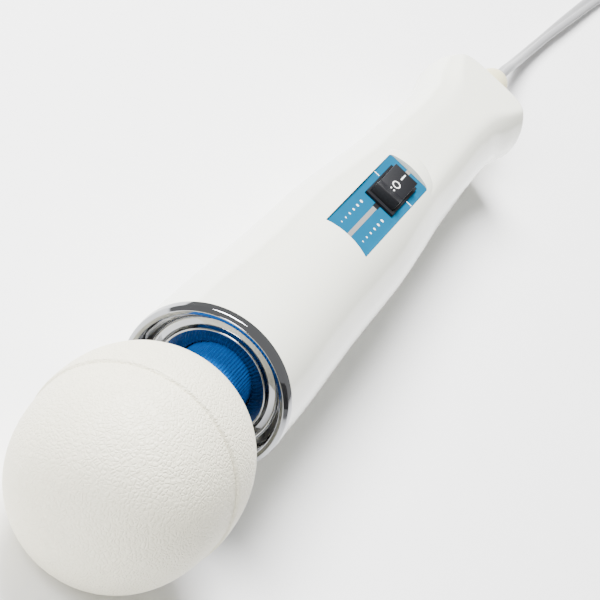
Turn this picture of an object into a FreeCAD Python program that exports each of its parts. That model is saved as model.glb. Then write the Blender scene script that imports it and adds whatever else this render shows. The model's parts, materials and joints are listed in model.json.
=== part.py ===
import FreeCAD, Part
import math
import os

import Sketcher

# Handheld mains wand massager: a soft head on a flexible neck, a chrome collar and a two-shell
# casing that holds a brushed motor, a three-position rocker switch and the mains lead.
#
# Wand frame: the wand's axis is Y, the nose of the head is at y = 0, the tail is at +Y, and the
# switch faces +Z. Row frame: the wand lies on the surface z = 0 on its head and its tail rim, so
# its axis dips towards the tail, and the origin is under the middle of the wand.

Vector = FreeCAD.Vector
Rotation = FreeCAD.Rotation
Placement = FreeCAD.Placement
X_AXIS = Vector(1, 0, 0)
Y_AXIS = Vector(0, 1, 0)
Z_AXIS = Vector(0, 0, 1)

# Driving dimensions in millimetres and degrees. A place is a distance from the nose.
DIMENSIONS = {
    # head
    "headPlace": 37.0, "headBandRadius": 31.75, "domeBandRadius": 31.2, "crownRadius": 50.0,
    "domeBandFront": 29.0, "headStep": 36.0, "stepRamp": 0.6,
    "headBandRear": 43.0, "rearShoulder": 28.8,
    "headRear": 72.0, "coverWall": 3.0, "coreWall": 2.4, "neckOpening": 13.4,
    # flexible neck and collar
    "neckRadius": 11.5, "neckBore": 8.2, "neckFront": 61.6, "neckFlangeRadius": 16.0,
    "neckFlangeFront": 95.5, "neckRear": 98.6, "collarHole": 12.3, "collarLip": 85.3,
    # casing
    "casingFront": 88.7, "barrelRadius": 25.7, "mouthRear": 112.0, "barrelRear": 195.0,
    "barrelRearRadius": 22.75, "gripFront": 243.0,
    "gripFrontRadius": 19.5, "waist": 289.0, "waistRadius": 17.7,
    "flareRadius": 20.8, "rimRadius": 4.0, "casingRear": 324.0, "wall": 2.8,
    "tailCavityFront": 296.0, "tailCavityRadius": 11.5, "endWall": 3.0, "leadHole": 5.5,
    # label panel, in the top of the casing, and the flat on the grip behind it
    "panelFront": 163.0, "panelRear": 225.0, "panelHalfWidth": 8.3, "panelTop": 21.3,
    "panelTilt": 2.0, "labelThickness": 0.8, "deckThickness": 2.4,
    "flatFront": 233.0, "flatTop": 18.2, "flatTilt": 2.0,
    # switch
    "rockerPlace": 206.0, "rockerHalfLength": 10.0, "rockerHalfWidth": 4.7,
    "rockerPinRadius": 1.0, "rockerPinDepth": 1.5, "switchHalfLength": 12.2,
    "switchHalfWidth": 5.6, "switchDepth": 13.0,
    # motor
    "stackFront": 115.0, "stackRear": 141.0, "stackRadius": 18.4, "stackBore": 10.6,
    "armatureRadius": 10.2, "armatureSlots": 12, "motorShaftRadius": 3.0, "shaftFront": 88.0,
    "shaftRear": 161.8, "commutatorFront": 147.0, "commutatorRear": 154.0,
    "commutatorRadius": 6.5, "frontBracket": 101.2, "rearBracket": 156.8, "bracketWidth": 2.5,
    "fanPlace": 105.2, "fanRadius": 15.0,
    # head drive
    "driveRadius": 4.0, "bearingRadius": 11.0, "bearingWidth": 7.0, "weightRadius": 15.5,
    "weightLength": 20.0, "weightFront": 27.0,
    "frontBearing": 24.0, "rearBearing": 16.5, "driveSpringRadius": 5.0, "springWire": 0.85,
    # lead
    "reliefRear": 352.0, "reliefRadius": 7.1, "reliefTipRadius": 5.2, "cordRadius": 2.8,
}


class Size:
    """A number together with the sheet expression that drives it."""

    def __init__(self, value, text):
        self.value = float(value)
        self.text = text

    @staticmethod
    def of(other):
        return other if isinstance(other, Size) else Size(other, repr(float(other)))

    def __add__(self, other):
        other = Size.of(other)
        return Size(self.value + other.value, f"({self.text} + {other.text})")

    def __sub__(self, other):
        other = Size.of(other)
        return Size(self.value - other.value, f"({self.text} - {other.text})")

    def __mul__(self, other):
        other = Size.of(other)
        return Size(self.value * other.value, f"({self.text} * {other.text})")

    def __truediv__(self, other):
        other = Size.of(other)
        return Size(self.value / other.value, f"({self.text} / {other.text})")

    def __rsub__(self, other):
        return Size.of(other) - self

    def __neg__(self):
        return Size(-self.value, f"(-{self.text})")

    __radd__ = __add__
    __rmul__ = __mul__


doc = FreeCAD.newDocument("WandMassager")
sheet = doc.addObject("Spreadsheet::Sheet", "Sizes")
for row, (alias, number) in enumerate(DIMENSIONS.items(), start=1):
    sheet.set(f"A{row}", alias)
    sheet.set(f"B{row}", repr(number))
    sheet.setAlias(f"B{row}", alias)
doc.recompute()
D = {alias: Size(number, f"Sizes.{alias}") for alias, number in DIMENSIONS.items()}

PANEL_TILT = math.radians(D["panelTilt"].value)
SCREW_PLACES = ((13.4, 183.0), (9.4, 262.0))      # (across, along) of each pair of casing screws
SCREW_SEAT = 9.5                                  # depth of the casing screws' heads below the seam
CLAMP_REACH, CLAMP_PLACE = 6.0, 305.0             # cord clamp's screws
BOLT_REACH = 16.9                                 # motor bolts from the axis
BEZEL_RISE = 0.9
BALL_COUNT, BALL_RADIUS = 7, 1.4
FAN_BLADES = 10
BRUSH_SPRING_RADIUS, BRUSH_SPRING_WIRE = 1.4, 0.4

# The lead lies in the row frame. It leaves the tail, sinks to the surface, runs on with a
# gentle bend and is wound up in a neat coil. Its last stretch leaves the coil for the plug.
CORD_FLOOR = 2.9
GROUND_GAP = 0.1
LEAD_START = 13.0                                 # straight run out of the strain relief
LEAD_ROUTE = [(0.6, 21.0, 10.5), (1.4, 47.0, 3.6), (2.8, 73.0, CORD_FLOOR),
              (4.6, 99.0, CORD_FLOOR), (6.4, 124.0, CORD_FLOOR), (8.4, 139.5, CORD_FLOOR)]
COIL_CENTRE = (44.0, 347.0)
COIL_INNER, COIL_OUTER, COIL_HEIGHT = 20.0, 38.0, 9.4
TAIL_HEIGHT = 7.9
TAIL_ROUTE = [(76.6, 323.1), (75.4, 315.5), (75.4, 308.5)]
PLUG_BACK, PLUG_LENGTH, PLUG_HEIGHT, PLUG_HALF_WIDTH = 308.5, 24.0, 15.6, 11.0
BLADE_WIDTH, BLADE_LENGTH, BLADE_THICKNESS, BLADE_PITCH = 6.4, 17.0, 1.5, 12.7

nodes = {}       # node name -> the document object that is written to its file
seats = {}       # node name -> "wand", "panel" or "row": the frame that its shape is drawn in


def keep(label, thing, seat="wand"):
    """Name a finished sub-part and say which frame it is drawn in."""
    thing.Label = label
    nodes[label] = thing
    seats[label] = seat
    return thing


def bind(thing, **sizes):
    """Drive an object's properties from the sheet."""
    for name, size in sizes.items():
        thing.setExpression(name, Size.of(size).text)


# ---------------------------------------------------------------- sketches and bodies


def new_body(label, seat="wand"):
    return keep(label, doc.addObject("PartDesign::Body", label), seat)


def new_sketch(body, role, offset=None):
    """A sketch on one of the body's origin planes, moved off it by offset."""
    plane = [item for item in body.Origin.OriginFeatures if item.Role == role][0]
    sketch = body.newObject("Sketcher::SketchObject", f"{body.Name}Sketch")
    sketch.AttachmentSupport = [(plane, "")]
    sketch.MapMode = "FlatFace"
    if offset is not None:
        sketch.AttachmentOffset = offset
    return sketch


def hold_point(sketch, edge, end, across, along):
    """Fix a sketch point at its distances from the sketch's origin, driven by the sheet."""
    for kind, axis, size in (("DistanceX", -2, across), ("DistanceY", -1, along)):
        size = Size.of(size)
        if abs(size.value) < 1e-9:
            sketch.addConstraint(Sketcher.Constraint("PointOnObject", edge, end, axis))
            continue
        ends = (-1, 1, edge, end) if size.value > 0 else (edge, end, -1, 1)
        text = size.text if size.value > 0 else (-size).text
        place = sketch.addConstraint(Sketcher.Constraint(kind, *ends, abs(size.value)))
        sketch.setExpression(f"Constraints[{place}]", text)


def draw_outline(sketch, corners):
    """A closed outline. A corner is (across, along) or (across, along, radius): with a radius,
    the edge to the next corner is an arc, to the left of the line of travel where it is
    positive and to the right where it is negative."""
    first = sketch.GeometryCount
    ends = []
    for place, corner in enumerate(corners):
        following = corners[(place + 1) % len(corners)]
        start = Vector(Size.of(corner[0]).value, Size.of(corner[1]).value, 0)
        finish = Vector(Size.of(following[0]).value, Size.of(following[1]).value, 0)
        if len(corner) == 2:
            sketch.addGeometry(Part.LineSegment(start, finish), False)
            ends.append((1, 2))
            continue
        radius = Size.of(corner[2])
        chord = finish - start
        side = 1.0 if radius.value > 0 else -1.0
        rise = math.sqrt(max(radius.value ** 2 - (chord.Length / 2) ** 2, 0.0))
        centre = (start + finish) * 0.5 + Vector(chord.y, -chord.x, 0).normalize() * rise * side
        angles = [math.atan2(end.y - centre.y, end.x - centre.x) for end in (start, finish)]
        clockwise = side > 0
        if clockwise:
            angles.reverse()
        if angles[1] < angles[0]:
            angles[1] += 2 * math.pi
        circle = Part.Circle(centre, Z_AXIS, abs(radius.value))
        edge = sketch.addGeometry(Part.ArcOfCircle(circle, *angles), False)
        ends.append((2, 1) if clockwise else (1, 2))
        text = radius.text if side > 0 else (-radius).text
        size = sketch.addConstraint(Sketcher.Constraint("Radius", edge, abs(radius.value)))
        sketch.setExpression(f"Constraints[{size}]", text)
    count = len(corners)
    for place, corner in enumerate(corners):
        before = (place - 1) % count
        sketch.addConstraint(Sketcher.Constraint(
            "Coincident", first + before, ends[before][1], first + place, ends[place][0]))
        hold_point(sketch, first + place, ends[place][0], corner[0], corner[1])


def draw_circle(sketch, across, along, radius):
    centre = Vector(Size.of(across).value, Size.of(along).value, 0)
    edge = sketch.addGeometry(Part.Circle(centre, Z_AXIS, Size.of(radius).value), False)
    size = sketch.addConstraint(Sketcher.Constraint("Radius", edge, Size.of(radius).value))
    sketch.setExpression(f"Constraints[{size}]", Size.of(radius).text)
    hold_point(sketch, edge, 3, across, along)


def box_corners(low_x, high_x, low_y, high_y):
    return [(low_x, low_y), (high_x, low_y), (high_x, high_y), (low_x, high_y)]


def turn(body, corners, angle=360.0, reverse=False):
    """Revolve an outline of (radius, place) corners about the wand's axis."""
    sketch = new_sketch(body, "XY_Plane")
    draw_outline(sketch, corners)
    feature = body.newObject("PartDesign::Revolution", f"{body.Name}Turn")
    feature.Profile = sketch
    feature.ReferenceAxis = (sketch, ["V_Axis"])
    feature.Angle = angle
    feature.Reversed = reverse
    return feature


def turned(label, corners, seat="wand"):
    body = new_body(label, seat)
    turn(body, corners)
    return body


def pad(body, sketch, length, reverse=False, both=False):
    feature = body.newObject("PartDesign::Pad", f"{body.Name}Pad")
    feature.Profile = sketch
    bind(feature, Length=length)
    feature.Reversed = reverse
    feature.Midplane = both
    return feature


def pocket(body, sketch, length=None, reverse=False, both=False):
    """Cut an outline into the body, through everything where no length is given."""
    doc.recompute()
    before = body.Shape.Volume
    feature = body.newObject("PartDesign::Pocket", f"{body.Name}Pocket")
    feature.Profile = sketch
    if length is None:
        feature.Type = "ThroughAll"
    else:
        bind(feature, Length=length)
    feature.Reversed = reverse
    feature.Midplane = both
    doc.recompute()
    if body.Shape.Volume > before - 0.01:
        raise RuntimeError(f"{body.Label}: a pocket cuts nothing")
    return feature


def repeat_round_axis(body, feature, count):
    """Repeat a feature round the wand's axis."""
    pattern = body.newObject("PartDesign::PolarPattern", f"{body.Name}Pattern")
    pattern.Originals = [feature]
    axis = [item for item in body.Origin.OriginFeatures if item.Role == "Y_Axis"][0]
    pattern.Axis = (axis, [""])
    pattern.Angle = 360
    bind(pattern, Occurrences=count)
    body.Tip = pattern
    return pattern


# ---------------------------------------------------------------- primitives and booleans


def along_wand(x=0.0, y=0.0, z=0.0, roll=0.0):
    """Stands a primitive's own axis along +Y at a point, rolled about it."""
    turn_about = Rotation(Y_AXIS, roll).multiply(Rotation(X_AXIS, -90))
    return Placement(Vector(x, y, z), turn_about)


def cylinder(radius, length, placement, angle=360.0):
    thing = doc.addObject("Part::Cylinder", "Cylinder")
    bind(thing, Radius=radius, Height=length)
    thing.Angle = angle
    thing.Placement = placement
    return thing


def block(width, depth, height, corner):
    thing = doc.addObject("Part::Box", "Block")
    bind(thing, Length=width, Width=depth, Height=height)
    thing.Placement = Placement(corner, Rotation())
    return thing


def cut(base, tool):
    thing = doc.addObject("Part::Cut", "Cut")
    thing.Base = base
    thing.Tool = tool
    return thing


def fuse(*things):
    thing = doc.addObject("Part::MultiFuse", "Fusion")
    thing.Shapes = list(things)
    return thing


def group(*things):
    thing = doc.addObject("Part::Compound", "Group")
    thing.Links = list(things)
    return thing


def tube(outer, inner, length, placement, angle=360.0):
    return cut(cylinder(outer, length, placement, angle), cylinder(inner, length, placement, angle))


def spring(radius, wire, pitch, length, placement):
    """A coil spring: a round wire swept along a helix."""
    helix = doc.addObject("Part::Helix", "Helix")
    bind(helix, Radius=radius, Pitch=pitch, Height=length)
    section = doc.addObject("Part::Circle", "WireSection")
    bind(section, Radius=wire)
    section.Placement = Placement(Vector(Size.of(radius).value, 0, 0), Rotation(X_AXIS, 90))
    sweep = doc.addObject("Part::Sweep", "Coil")
    sweep.Sections = [section]
    sweep.Spine = (helix, ["Edge1"])
    sweep.Solid = True
    sweep.Frenet = True
    sweep.Placement = placement
    return sweep


# ---------------------------------------------------------------- paths for leads


def rounded_path(points, report=None):
    """Straight runs joined by tangent arcs. Each arc's radius is 0.45 of the shorter of its two
    runs, divided by the tangent of half the turn."""
    edges = []
    at = points[0]
    for before, corner, after in zip(points, points[1:], points[2:]):
        arriving = (corner - before).normalize()
        leaving = (after - corner).normalize()
        half_turn = arriving.getAngle(leaving) / 2
        setback = 0.45 * min(before.distanceToPoint(corner), corner.distanceToPoint(after))
        radius = setback / math.tan(half_turn)
        start = corner - arriving * setback
        finish = corner + leaving * setback
        inward = (leaving - arriving).normalize()
        middle = corner + inward * (radius / math.cos(half_turn) - radius)
        edges.append(Part.LineSegment(at, start).toShape())
        edges.append(Part.Arc(start, middle, finish).toShape())
        at = finish
        if report is not None:
            report.append(round(radius, 1))
    edges.append(Part.LineSegment(at, points[-1]).toShape())
    return Part.Wire(edges)


def swept_tube(points, radius, report=None):
    """A round tube along a rounded path, with its volume compared with section times length."""
    path = rounded_path(points, report)
    heading = (points[1] - points[0]).normalize()
    section = Part.Wire([Part.Circle(points[0], heading, radius).toShape()])
    solid = path.makePipeShell([section], True, False)
    expected = math.pi * radius ** 2 * path.Length
    if abs(solid.Volume - expected) > 0.01 * expected:
        raise RuntimeError("a swept tube has the wrong volume")
    return solid, path.Length


# ---------------------------------------------------------------- head


def crown_joint(crown_radius, crown_place, band_radius, band_place):
    """Radius of the shoulder arc that joins a crown arc to a band, and the (radius, place) where
    it meets the crown. crown_place is the crown's centre on the axis."""
    reach = band_place - crown_place
    shoulder = (crown_radius * crown_radius - band_radius * band_radius - reach * reach) \
        / ((crown_radius - band_radius) * 2.0)
    stretch = crown_radius / (crown_radius - shoulder)
    return shoulder, (band_radius - shoulder) * stretch, crown_place + reach * stretch


def shoulder_place(band_radius, band_place, shoulder, radius, side):
    """Place where a shoulder arc, tangent to its band, has come in to the given radius. side is
    1 behind the band and -1 in front of it."""
    inset = shoulder - band_radius + radius
    depth = math.sqrt(shoulder.value ** 2 - inset.value ** 2)
    root = f"sqrt(({shoulder.text}) * ({shoulder.text}) - ({inset.text}) * ({inset.text}))"
    return band_place + Size(depth, root) * side


def dome(inset):
    """Sizes of the head's front, inset from its skin: crown, band, shoulder and their joint."""
    crown = D["crownRadius"] - inset
    band = D["domeBandRadius"] - inset
    return (crown, band) + crown_joint(crown, D["crownRadius"], band, D["domeBandFront"])


def head_cover():
    """Vinyl cover: a dome, and behind a fine ramped step a slightly larger rear band."""
    inset = D["coverWall"]
    crown, band, shoulder, joint_radius, joint_place = dome(Size.of(0.0))
    core_crown, core_band, core_shoulder, core_joint_radius, core_joint_place = dome(inset)
    rear_band = D["headBandRadius"]
    rear_shoulder = D["rearShoulder"]
    opening = D["neckOpening"]
    turned("head_cover", [
        (0.0, 0.0, -crown),
        (joint_radius, joint_place, -shoulder),
        (band, D["domeBandFront"]),
        (band, D["headStep"]),
        (rear_band, D["headStep"] + D["stepRamp"]),
        (rear_band, D["headBandRear"], -rear_shoulder),
        (opening, shoulder_place(rear_band, D["headBandRear"], rear_shoulder, opening, 1.0)),
        (opening, shoulder_place(rear_band - inset, D["headBandRear"], rear_shoulder - inset,
                                 opening, 1.0), rear_shoulder - inset),
        (rear_band - inset, D["headBandRear"]),
        (rear_band - inset, D["headPlace"]),
        (core_band, D["headPlace"]),
        (core_band, D["domeBandFront"], core_shoulder),
        (core_joint_radius, core_joint_place, core_crown),
        (0.0, inset),
    ])


def head_core():
    """Two rigid cups inside the cover. Each has a hub that seats one ball bearing."""
    cover, wall = D["coverWall"], D["coreWall"]
    crown, band, shoulder, joint_radius, joint_place = dome(cover)
    inner_band, inner_shoulder = dome(cover + wall)[1:3]
    seat = D["bearingRadius"]
    hub = seat + wall
    split = D["headPlace"]
    front_seat = split - D["frontBearing"]
    turned("head_core_front", [
        (0.0, cover, -crown),
        (joint_radius, joint_place, -shoulder),
        (band, D["domeBandFront"]),
        (band, split),
        (inner_band, split),
        (inner_band, D["domeBandFront"], inner_shoulder),
        (hub, shoulder_place(inner_band, D["domeBandFront"], inner_shoulder, hub, -1.0)),
        (hub, front_seat + D["bearingWidth"]),
        (seat, front_seat + D["bearingWidth"]),
        (seat, front_seat),
        (0.0, front_seat),
    ])
    rear_seat = split + D["rearBearing"]
    stop = rear_seat + D["bearingWidth"]
    band = D["headBandRadius"] - cover
    shoulder = D["rearShoulder"] - cover
    pocket_radius = D["neckRadius"] + 1.5
    rim = D["neckOpening"] + 0.2
    nose = D["neckBore"] - 0.1
    nose_rear = D["headRear"] + 1.0
    turned("head_core_rear", [
        (band, split),
        (band, D["headBandRear"], -shoulder),
        (rim, shoulder_place(band, D["headBandRear"], shoulder, rim, 1.0)),
        (pocket_radius, D["neckFront"] + 4.6),
        (pocket_radius, D["neckFront"] - 0.1),
        (nose, D["neckFront"] - 0.1),
        (nose, nose_rear),
        (nose - 1.5, nose_rear),
        (nose - 1.5, stop),
        (seat, stop),
        (seat, rear_seat),
        (hub, rear_seat),
        (hub, shoulder_place(band - wall, D["headBandRear"], shoulder - wall, hub, 1.0) - 4.0),
        (hub + 6.0, shoulder_place(band - wall, D["headBandRear"], shoulder - wall,
                                   hub + 6.0, 1.0), shoulder - wall),
        (band - wall, D["headBandRear"]),
        (band - wall, split),
    ])
    return front_seat, rear_seat


def ball_bearing(name, place):
    """Outer ring and inner ring with ball grooves, and seven balls between them."""
    outer = D["bearingRadius"]
    inner = D["driveRadius"]
    width = D["bearingWidth"]
    track = (outer + inner) / 2.0
    middle = place + width / 2.0
    groove = 2.1
    for part, low, high, side in (("outer_ring", outer - 2.2, outer, 1.0),
                                  ("inner_ring", inner, inner + 2.2, -1.0)):
        far = high if side > 0 else low
        near = low if side > 0 else high
        corners = [(far, place), (far, place + width), (near, place + width),
                   (near, middle + groove / 2.0 + 0.3, Size.of(groove) * side),
                   (near, middle - groove / 2.0 - 0.3), (near, place)]
        turned(f"{name}_bearing_{part}", corners)
    balls = []
    for count in range(BALL_COUNT):
        angle = 2 * math.pi * count / BALL_COUNT
        ball = doc.addObject("Part::Sphere", "Ball")
        bind(ball, Radius=BALL_RADIUS)
        ball.Placement = Placement(Vector(track.value * math.sin(angle), middle.value,
                                          track.value * math.cos(angle)), Rotation())
        balls.append(ball)
    keep(f"{name}_bearing_balls", group(*balls))


def head_drive(front_seat, rear_seat):
    """The head's shaft, its eccentric weight and the spring that drives it through the neck."""
    radius = D["driveRadius"]
    collar = radius + 1.6
    front_stop = front_seat + D["bearingWidth"]
    turned("head_shaft", [
        (0.0, front_seat + 0.6),
        (radius, front_seat + 0.6),
        (radius, front_stop),
        (collar, front_stop),
        (collar, front_stop + 2.0),
        (radius, front_stop + 2.0),
        (radius, rear_seat - 2.0),
        (collar, rear_seat - 2.0),
        (collar, rear_seat),
        (radius, rear_seat),
        (radius, D["headRear"] + 5.0),
        (0.0, D["headRear"] + 5.0),
    ])
    half_disc = cylinder(D["weightRadius"], D["weightLength"], along_wand(y=D["weightFront"].value), 180.0)
    hub = cylinder(radius + 3.0, D["weightLength"], along_wand(y=D["weightFront"].value))
    bore = cylinder(radius, D["weightLength"], along_wand(y=D["weightFront"].value))
    keep("eccentric_weight", cut(fuse(half_disc, hub), bore))
    coils = spring(D["driveSpringRadius"], D["springWire"], 2.6, 23.4, along_wand(y=72.0))
    keep("drive_spring", coils)


# ---------------------------------------------------------------- neck and collar


def neck():
    """Rubber neck: a flange inside the head and a wider flange clamped behind the collar."""
    front = D["neckFront"]
    turned("flexible_neck", [
        (D["neckBore"], front),
        (D["neckRadius"] + 1.4, front),
        (D["neckRadius"] + 1.4, front + 2.2),
        (D["neckRadius"], front + 2.2),
        (D["neckRadius"], D["neckFlangeFront"]),
        (D["neckFlangeRadius"], D["neckFlangeFront"]),
        (D["neckFlangeRadius"], D["neckRear"]),
        (D["neckBore"], D["neckRear"]),
    ])
    ring = D["barrelRadius"] - D["wall"] - 0.2
    turned("neck_clamp_ring", [
        (D["neckFlangeRadius"] + 0.1, D["neckFlangeFront"]),
        (ring, D["neckFlangeFront"]),
        (ring, D["neckRear"]),
        (D["neckFlangeRadius"] + 0.1, D["neckRear"]),
    ])
    turned("neck_retainer", [
        (D["neckBore"], D["neckRear"] + 0.05),
        (ring, D["neckRear"] + 0.05),
        (ring, D["neckRear"] + 1.4),
        (D["neckBore"], D["neckRear"] + 1.4),
    ])


def collar():
    """Chromed ring: an outer band, a rolled lip, a wide inner flank, a groove, and a funnel that
    ends in a small bead round the neck."""
    lip = D["collarLip"]
    front = D["casingFront"]
    skirt = D["barrelRadius"] - D["wall"] - 0.15
    hole = D["collarHole"]
    rear = D["neckFlangeFront"] - 0.05
    turned("chrome_collar", [
        (24.0, lip, -0.9),
        (24.6, lip + 0.5),
        (D["barrelRadius"] + 0.15, front - 0.5),
        (D["barrelRadius"] + 0.15, front),
        (skirt, front),
        (skirt, rear - 1.2),
        (skirt - 1.4, rear - 1.2),
        (skirt - 1.8, front + 1.0),
        (18.2, front + 2.4),
        (hole + 2.0, rear),
        (hole, rear),
        (hole, rear - 1.2, -1.0),
        (hole + 1.5, rear - 1.9),
        (15.8, front + 0.9),
        (17.6, front + 0.5),
        (18.0, front - 0.2),
        (18.8, front - 0.5),
        (19.4, front - 0.2, 5.4),
        (22.9, lip + 0.2, -1.2),
    ])


# ---------------------------------------------------------------- casing


def casing_outline():
    """Closed outline of the casing wall as (radius, place) corners: skin, tail, and inside."""
    wall = D["wall"]
    rim_place = D["casingRear"] - D["rimRadius"]
    rim_centre = D["flareRadius"] - D["rimRadius"]
    rise = math.radians(13.0)
    flare_end = (rim_centre + D["rimRadius"] * math.cos(rise),
                 rim_place - D["rimRadius"] * math.sin(rise))
    skin = [(D["barrelRadius"], D["casingFront"]),
            (D["barrelRadius"] - 0.3, D["mouthRear"]),
            (D["barrelRearRadius"], D["barrelRear"]),
            (D["gripFrontRadius"], D["gripFront"]),
            (D["waistRadius"], D["waist"], 112.0),
            flare_end + (-D["rimRadius"],),
            (rim_centre, D["casingRear"])]
    end_inside = D["casingRear"] - D["endWall"]
    cavity = [(D["leadHole"], D["casingRear"]),
              (D["leadHole"], end_inside),
              (D["tailCavityRadius"], end_inside),
              (D["tailCavityRadius"], D["tailCavityFront"]),
              (D["waistRadius"] - wall, D["tailCavityFront"]),
              (D["waistRadius"] - wall, D["waist"]),
              (D["gripFrontRadius"] - wall, D["gripFront"]),
              (D["barrelRearRadius"] - wall, D["barrelRear"]),
              (D["barrelRadius"] - 0.3 - wall, D["mouthRear"]),
              (D["barrelRadius"] - wall, D["casingFront"])]
    return skin + cavity


def panel_height(place):
    """Height of the label's face above the wand's axis at a distance from the nose."""
    return D["panelTop"].value - (place - D["panelFront"].value) * math.tan(PANEL_TILT)


def panel_plane(drop):
    """Plane of the label's face, lowered by drop, with its origin at the rocker."""
    middle = D["rockerPlace"].value
    lean = Rotation(X_AXIS, -D["panelTilt"].value)
    origin = Vector(0, middle, panel_height(middle))
    return Placement(origin + lean.multVec(Vector(0, 0, -drop)), lean)


def screw_axes():
    return [(side * across, place) for across, place in SCREW_PLACES for side in (-1, 1)]


def upper_shell():
    """Upper half: it carries the label deck, the switch opening and the grip's flat."""
    body = new_body("upper_shell")
    turn(body, casing_outline(), 180.0, reverse=True)
    near = D["panelFront"] - D["rockerPlace"]
    far = D["panelRear"] - D["rockerPlace"]
    floor = D["labelThickness"].value
    deck = new_sketch(body, "XY_Plane", panel_plane(floor))
    draw_outline(deck, [(-11.0, near - 0.8), (11.0, near - 0.8), (9.6, far + 2.0),
                        (-9.6, far + 2.0)])
    pad(body, deck, D["deckThickness"], reverse=True)
    bosses = new_sketch(body, "XY_Plane")
    draw_circle(bosses, SCREW_PLACES[0][0], SCREW_PLACES[0][1], 3.4)
    draw_circle(bosses, -SCREW_PLACES[0][0], SCREW_PLACES[0][1], 3.4)
    pad(body, bosses, 15.6)
    grip_bosses = new_sketch(body, "XY_Plane")
    draw_circle(grip_bosses, SCREW_PLACES[1][0], SCREW_PLACES[1][1], 3.2)
    draw_circle(grip_bosses, -SCREW_PLACES[1][0], SCREW_PLACES[1][1], 3.2)
    pad(body, grip_bosses, 12.4)
    holes = new_sketch(body, "XY_Plane")
    for across, place in screw_axes():
        draw_circle(holes, across, place, 1.25)
    pocket(body, holes, 10.0, reverse=True)
    recess = new_sketch(body, "XY_Plane", panel_plane(floor))
    half = D["panelHalfWidth"]
    draw_outline(recess, box_corners(-half, half, near, far))
    pocket(body, recess, reverse=True)
    opening = new_sketch(body, "XY_Plane", panel_plane(floor))
    long = D["switchHalfLength"] - 0.9
    wide = D["switchHalfWidth"] - 0.2
    draw_outline(opening, box_corners(-wide, wide, -long, long))
    pocket(body, opening, 6.0)
    lean = Rotation(X_AXIS, -D["flatTilt"].value)
    flat_origin = Vector(0, D["flatFront"].value, D["flatTop"].value)
    flat = new_sketch(body, "XY_Plane", Placement(flat_origin, lean))
    draw_outline(flat, [(-24.0, -8.0), (-11.0, -8.0, 11.5), (11.0, -8.0), (24.0, -8.0),
                        (24.0, 96.0), (-24.0, 96.0)])
    pocket(body, flat, reverse=True)


def lower_shell():
    """Lower half: bosses for the casing screws and posts for the cord clamp."""
    body = new_body("lower_shell")
    turn(body, casing_outline(), 180.0)
    for (across, place), depth in zip(SCREW_PLACES, (16.4, 13.2)):
        bosses = new_sketch(body, "XY_Plane")
        draw_circle(bosses, across, place, 4.3)
        draw_circle(bosses, -across, place, 4.3)
        pad(body, bosses, depth, reverse=True)
    posts = new_sketch(body, "XY_Plane", Placement(Vector(0, 0, -0.5), Rotation()))
    for side in (-1, 1):
        draw_circle(posts, side * CLAMP_REACH, CLAMP_PLACE, 2.4)
    pad(body, posts, 11.0, reverse=True)
    holes = new_sketch(body, "XY_Plane")
    for across, place in screw_axes():
        draw_circle(holes, across, place, 1.6)
    pocket(body, holes)
    recesses = new_sketch(body, "XY_Plane", Placement(Vector(0, 0, -SCREW_SEAT), Rotation()))
    for across, place in screw_axes():
        draw_circle(recesses, across, place, 3.1)
    pocket(body, recesses)
    clamp_holes = new_sketch(body, "XY_Plane")
    for side in (-1, 1):
        draw_circle(clamp_holes, side * CLAMP_REACH, CLAMP_PLACE, 1.1)
    pocket(body, clamp_holes, 8.0)


def upright(x, y, z):
    return Placement(Vector(x, y, z), Rotation())


def screw(x, y, seat, length, radius, head_radius, head_height, upwards):
    """A screw along Z with its head's underside at seat; upwards: its shank points to +Z."""
    shank_base = seat if upwards else seat - length
    head_base = seat - head_height if upwards else seat
    head = cylinder(head_radius, head_height, upright(x, y, head_base))
    slot = block(head_radius * 2.2, 0.8, 1.0,
                 Vector(x - head_radius * 1.1, y - 0.4,
                        head_base if upwards else head_base + head_height - 1.0))
    return fuse(cut(head, slot), cylinder(radius, length, upright(x, y, shank_base)))


def fasteners():
    keep("casing_screws", group(*[
        screw(across, place, -SCREW_SEAT, 19.0, 1.25, 2.8, 2.0, True)
        for across, place in screw_axes()]))
    keep("clamp_screws", group(*[
        screw(side * CLAMP_REACH, CLAMP_PLACE, 5.6, 13.0, 1.1, 2.1, 1.5, False)
        for side in (-1, 1)]))
    bar = block(17.4, 7.0, 2.6, Vector(-8.7, CLAMP_PLACE - 3.5, 3.0))
    holes = group(*[cylinder(1.3, 6.0, upright(side * CLAMP_REACH, CLAMP_PLACE, 1.0))
                    for side in (-1, 1)])
    keep("cord_clamp", cut(bar, holes))


# ---------------------------------------------------------------- switch and label


def label_plate():
    """Flat plate in the deck's recess, with the switch opening through it."""
    body = new_body("label_plate", "panel")
    near = D["panelFront"] - D["rockerPlace"] + 0.1
    far = D["panelRear"] - D["rockerPlace"] - 0.1
    half = D["panelHalfWidth"] - 0.1
    sketch = new_sketch(body, "XY_Plane", upright(0, 0, -D["labelThickness"].value))
    draw_outline(sketch, box_corners(-half, half, near, far))
    pad(body, sketch, D["labelThickness"])
    opening = new_sketch(body, "XY_Plane")
    long = D["switchHalfLength"] - 0.9
    wide = D["switchHalfWidth"] - 0.2
    draw_outline(opening, box_corners(-wide, wide, -long, long))
    pocket(body, opening)


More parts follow.
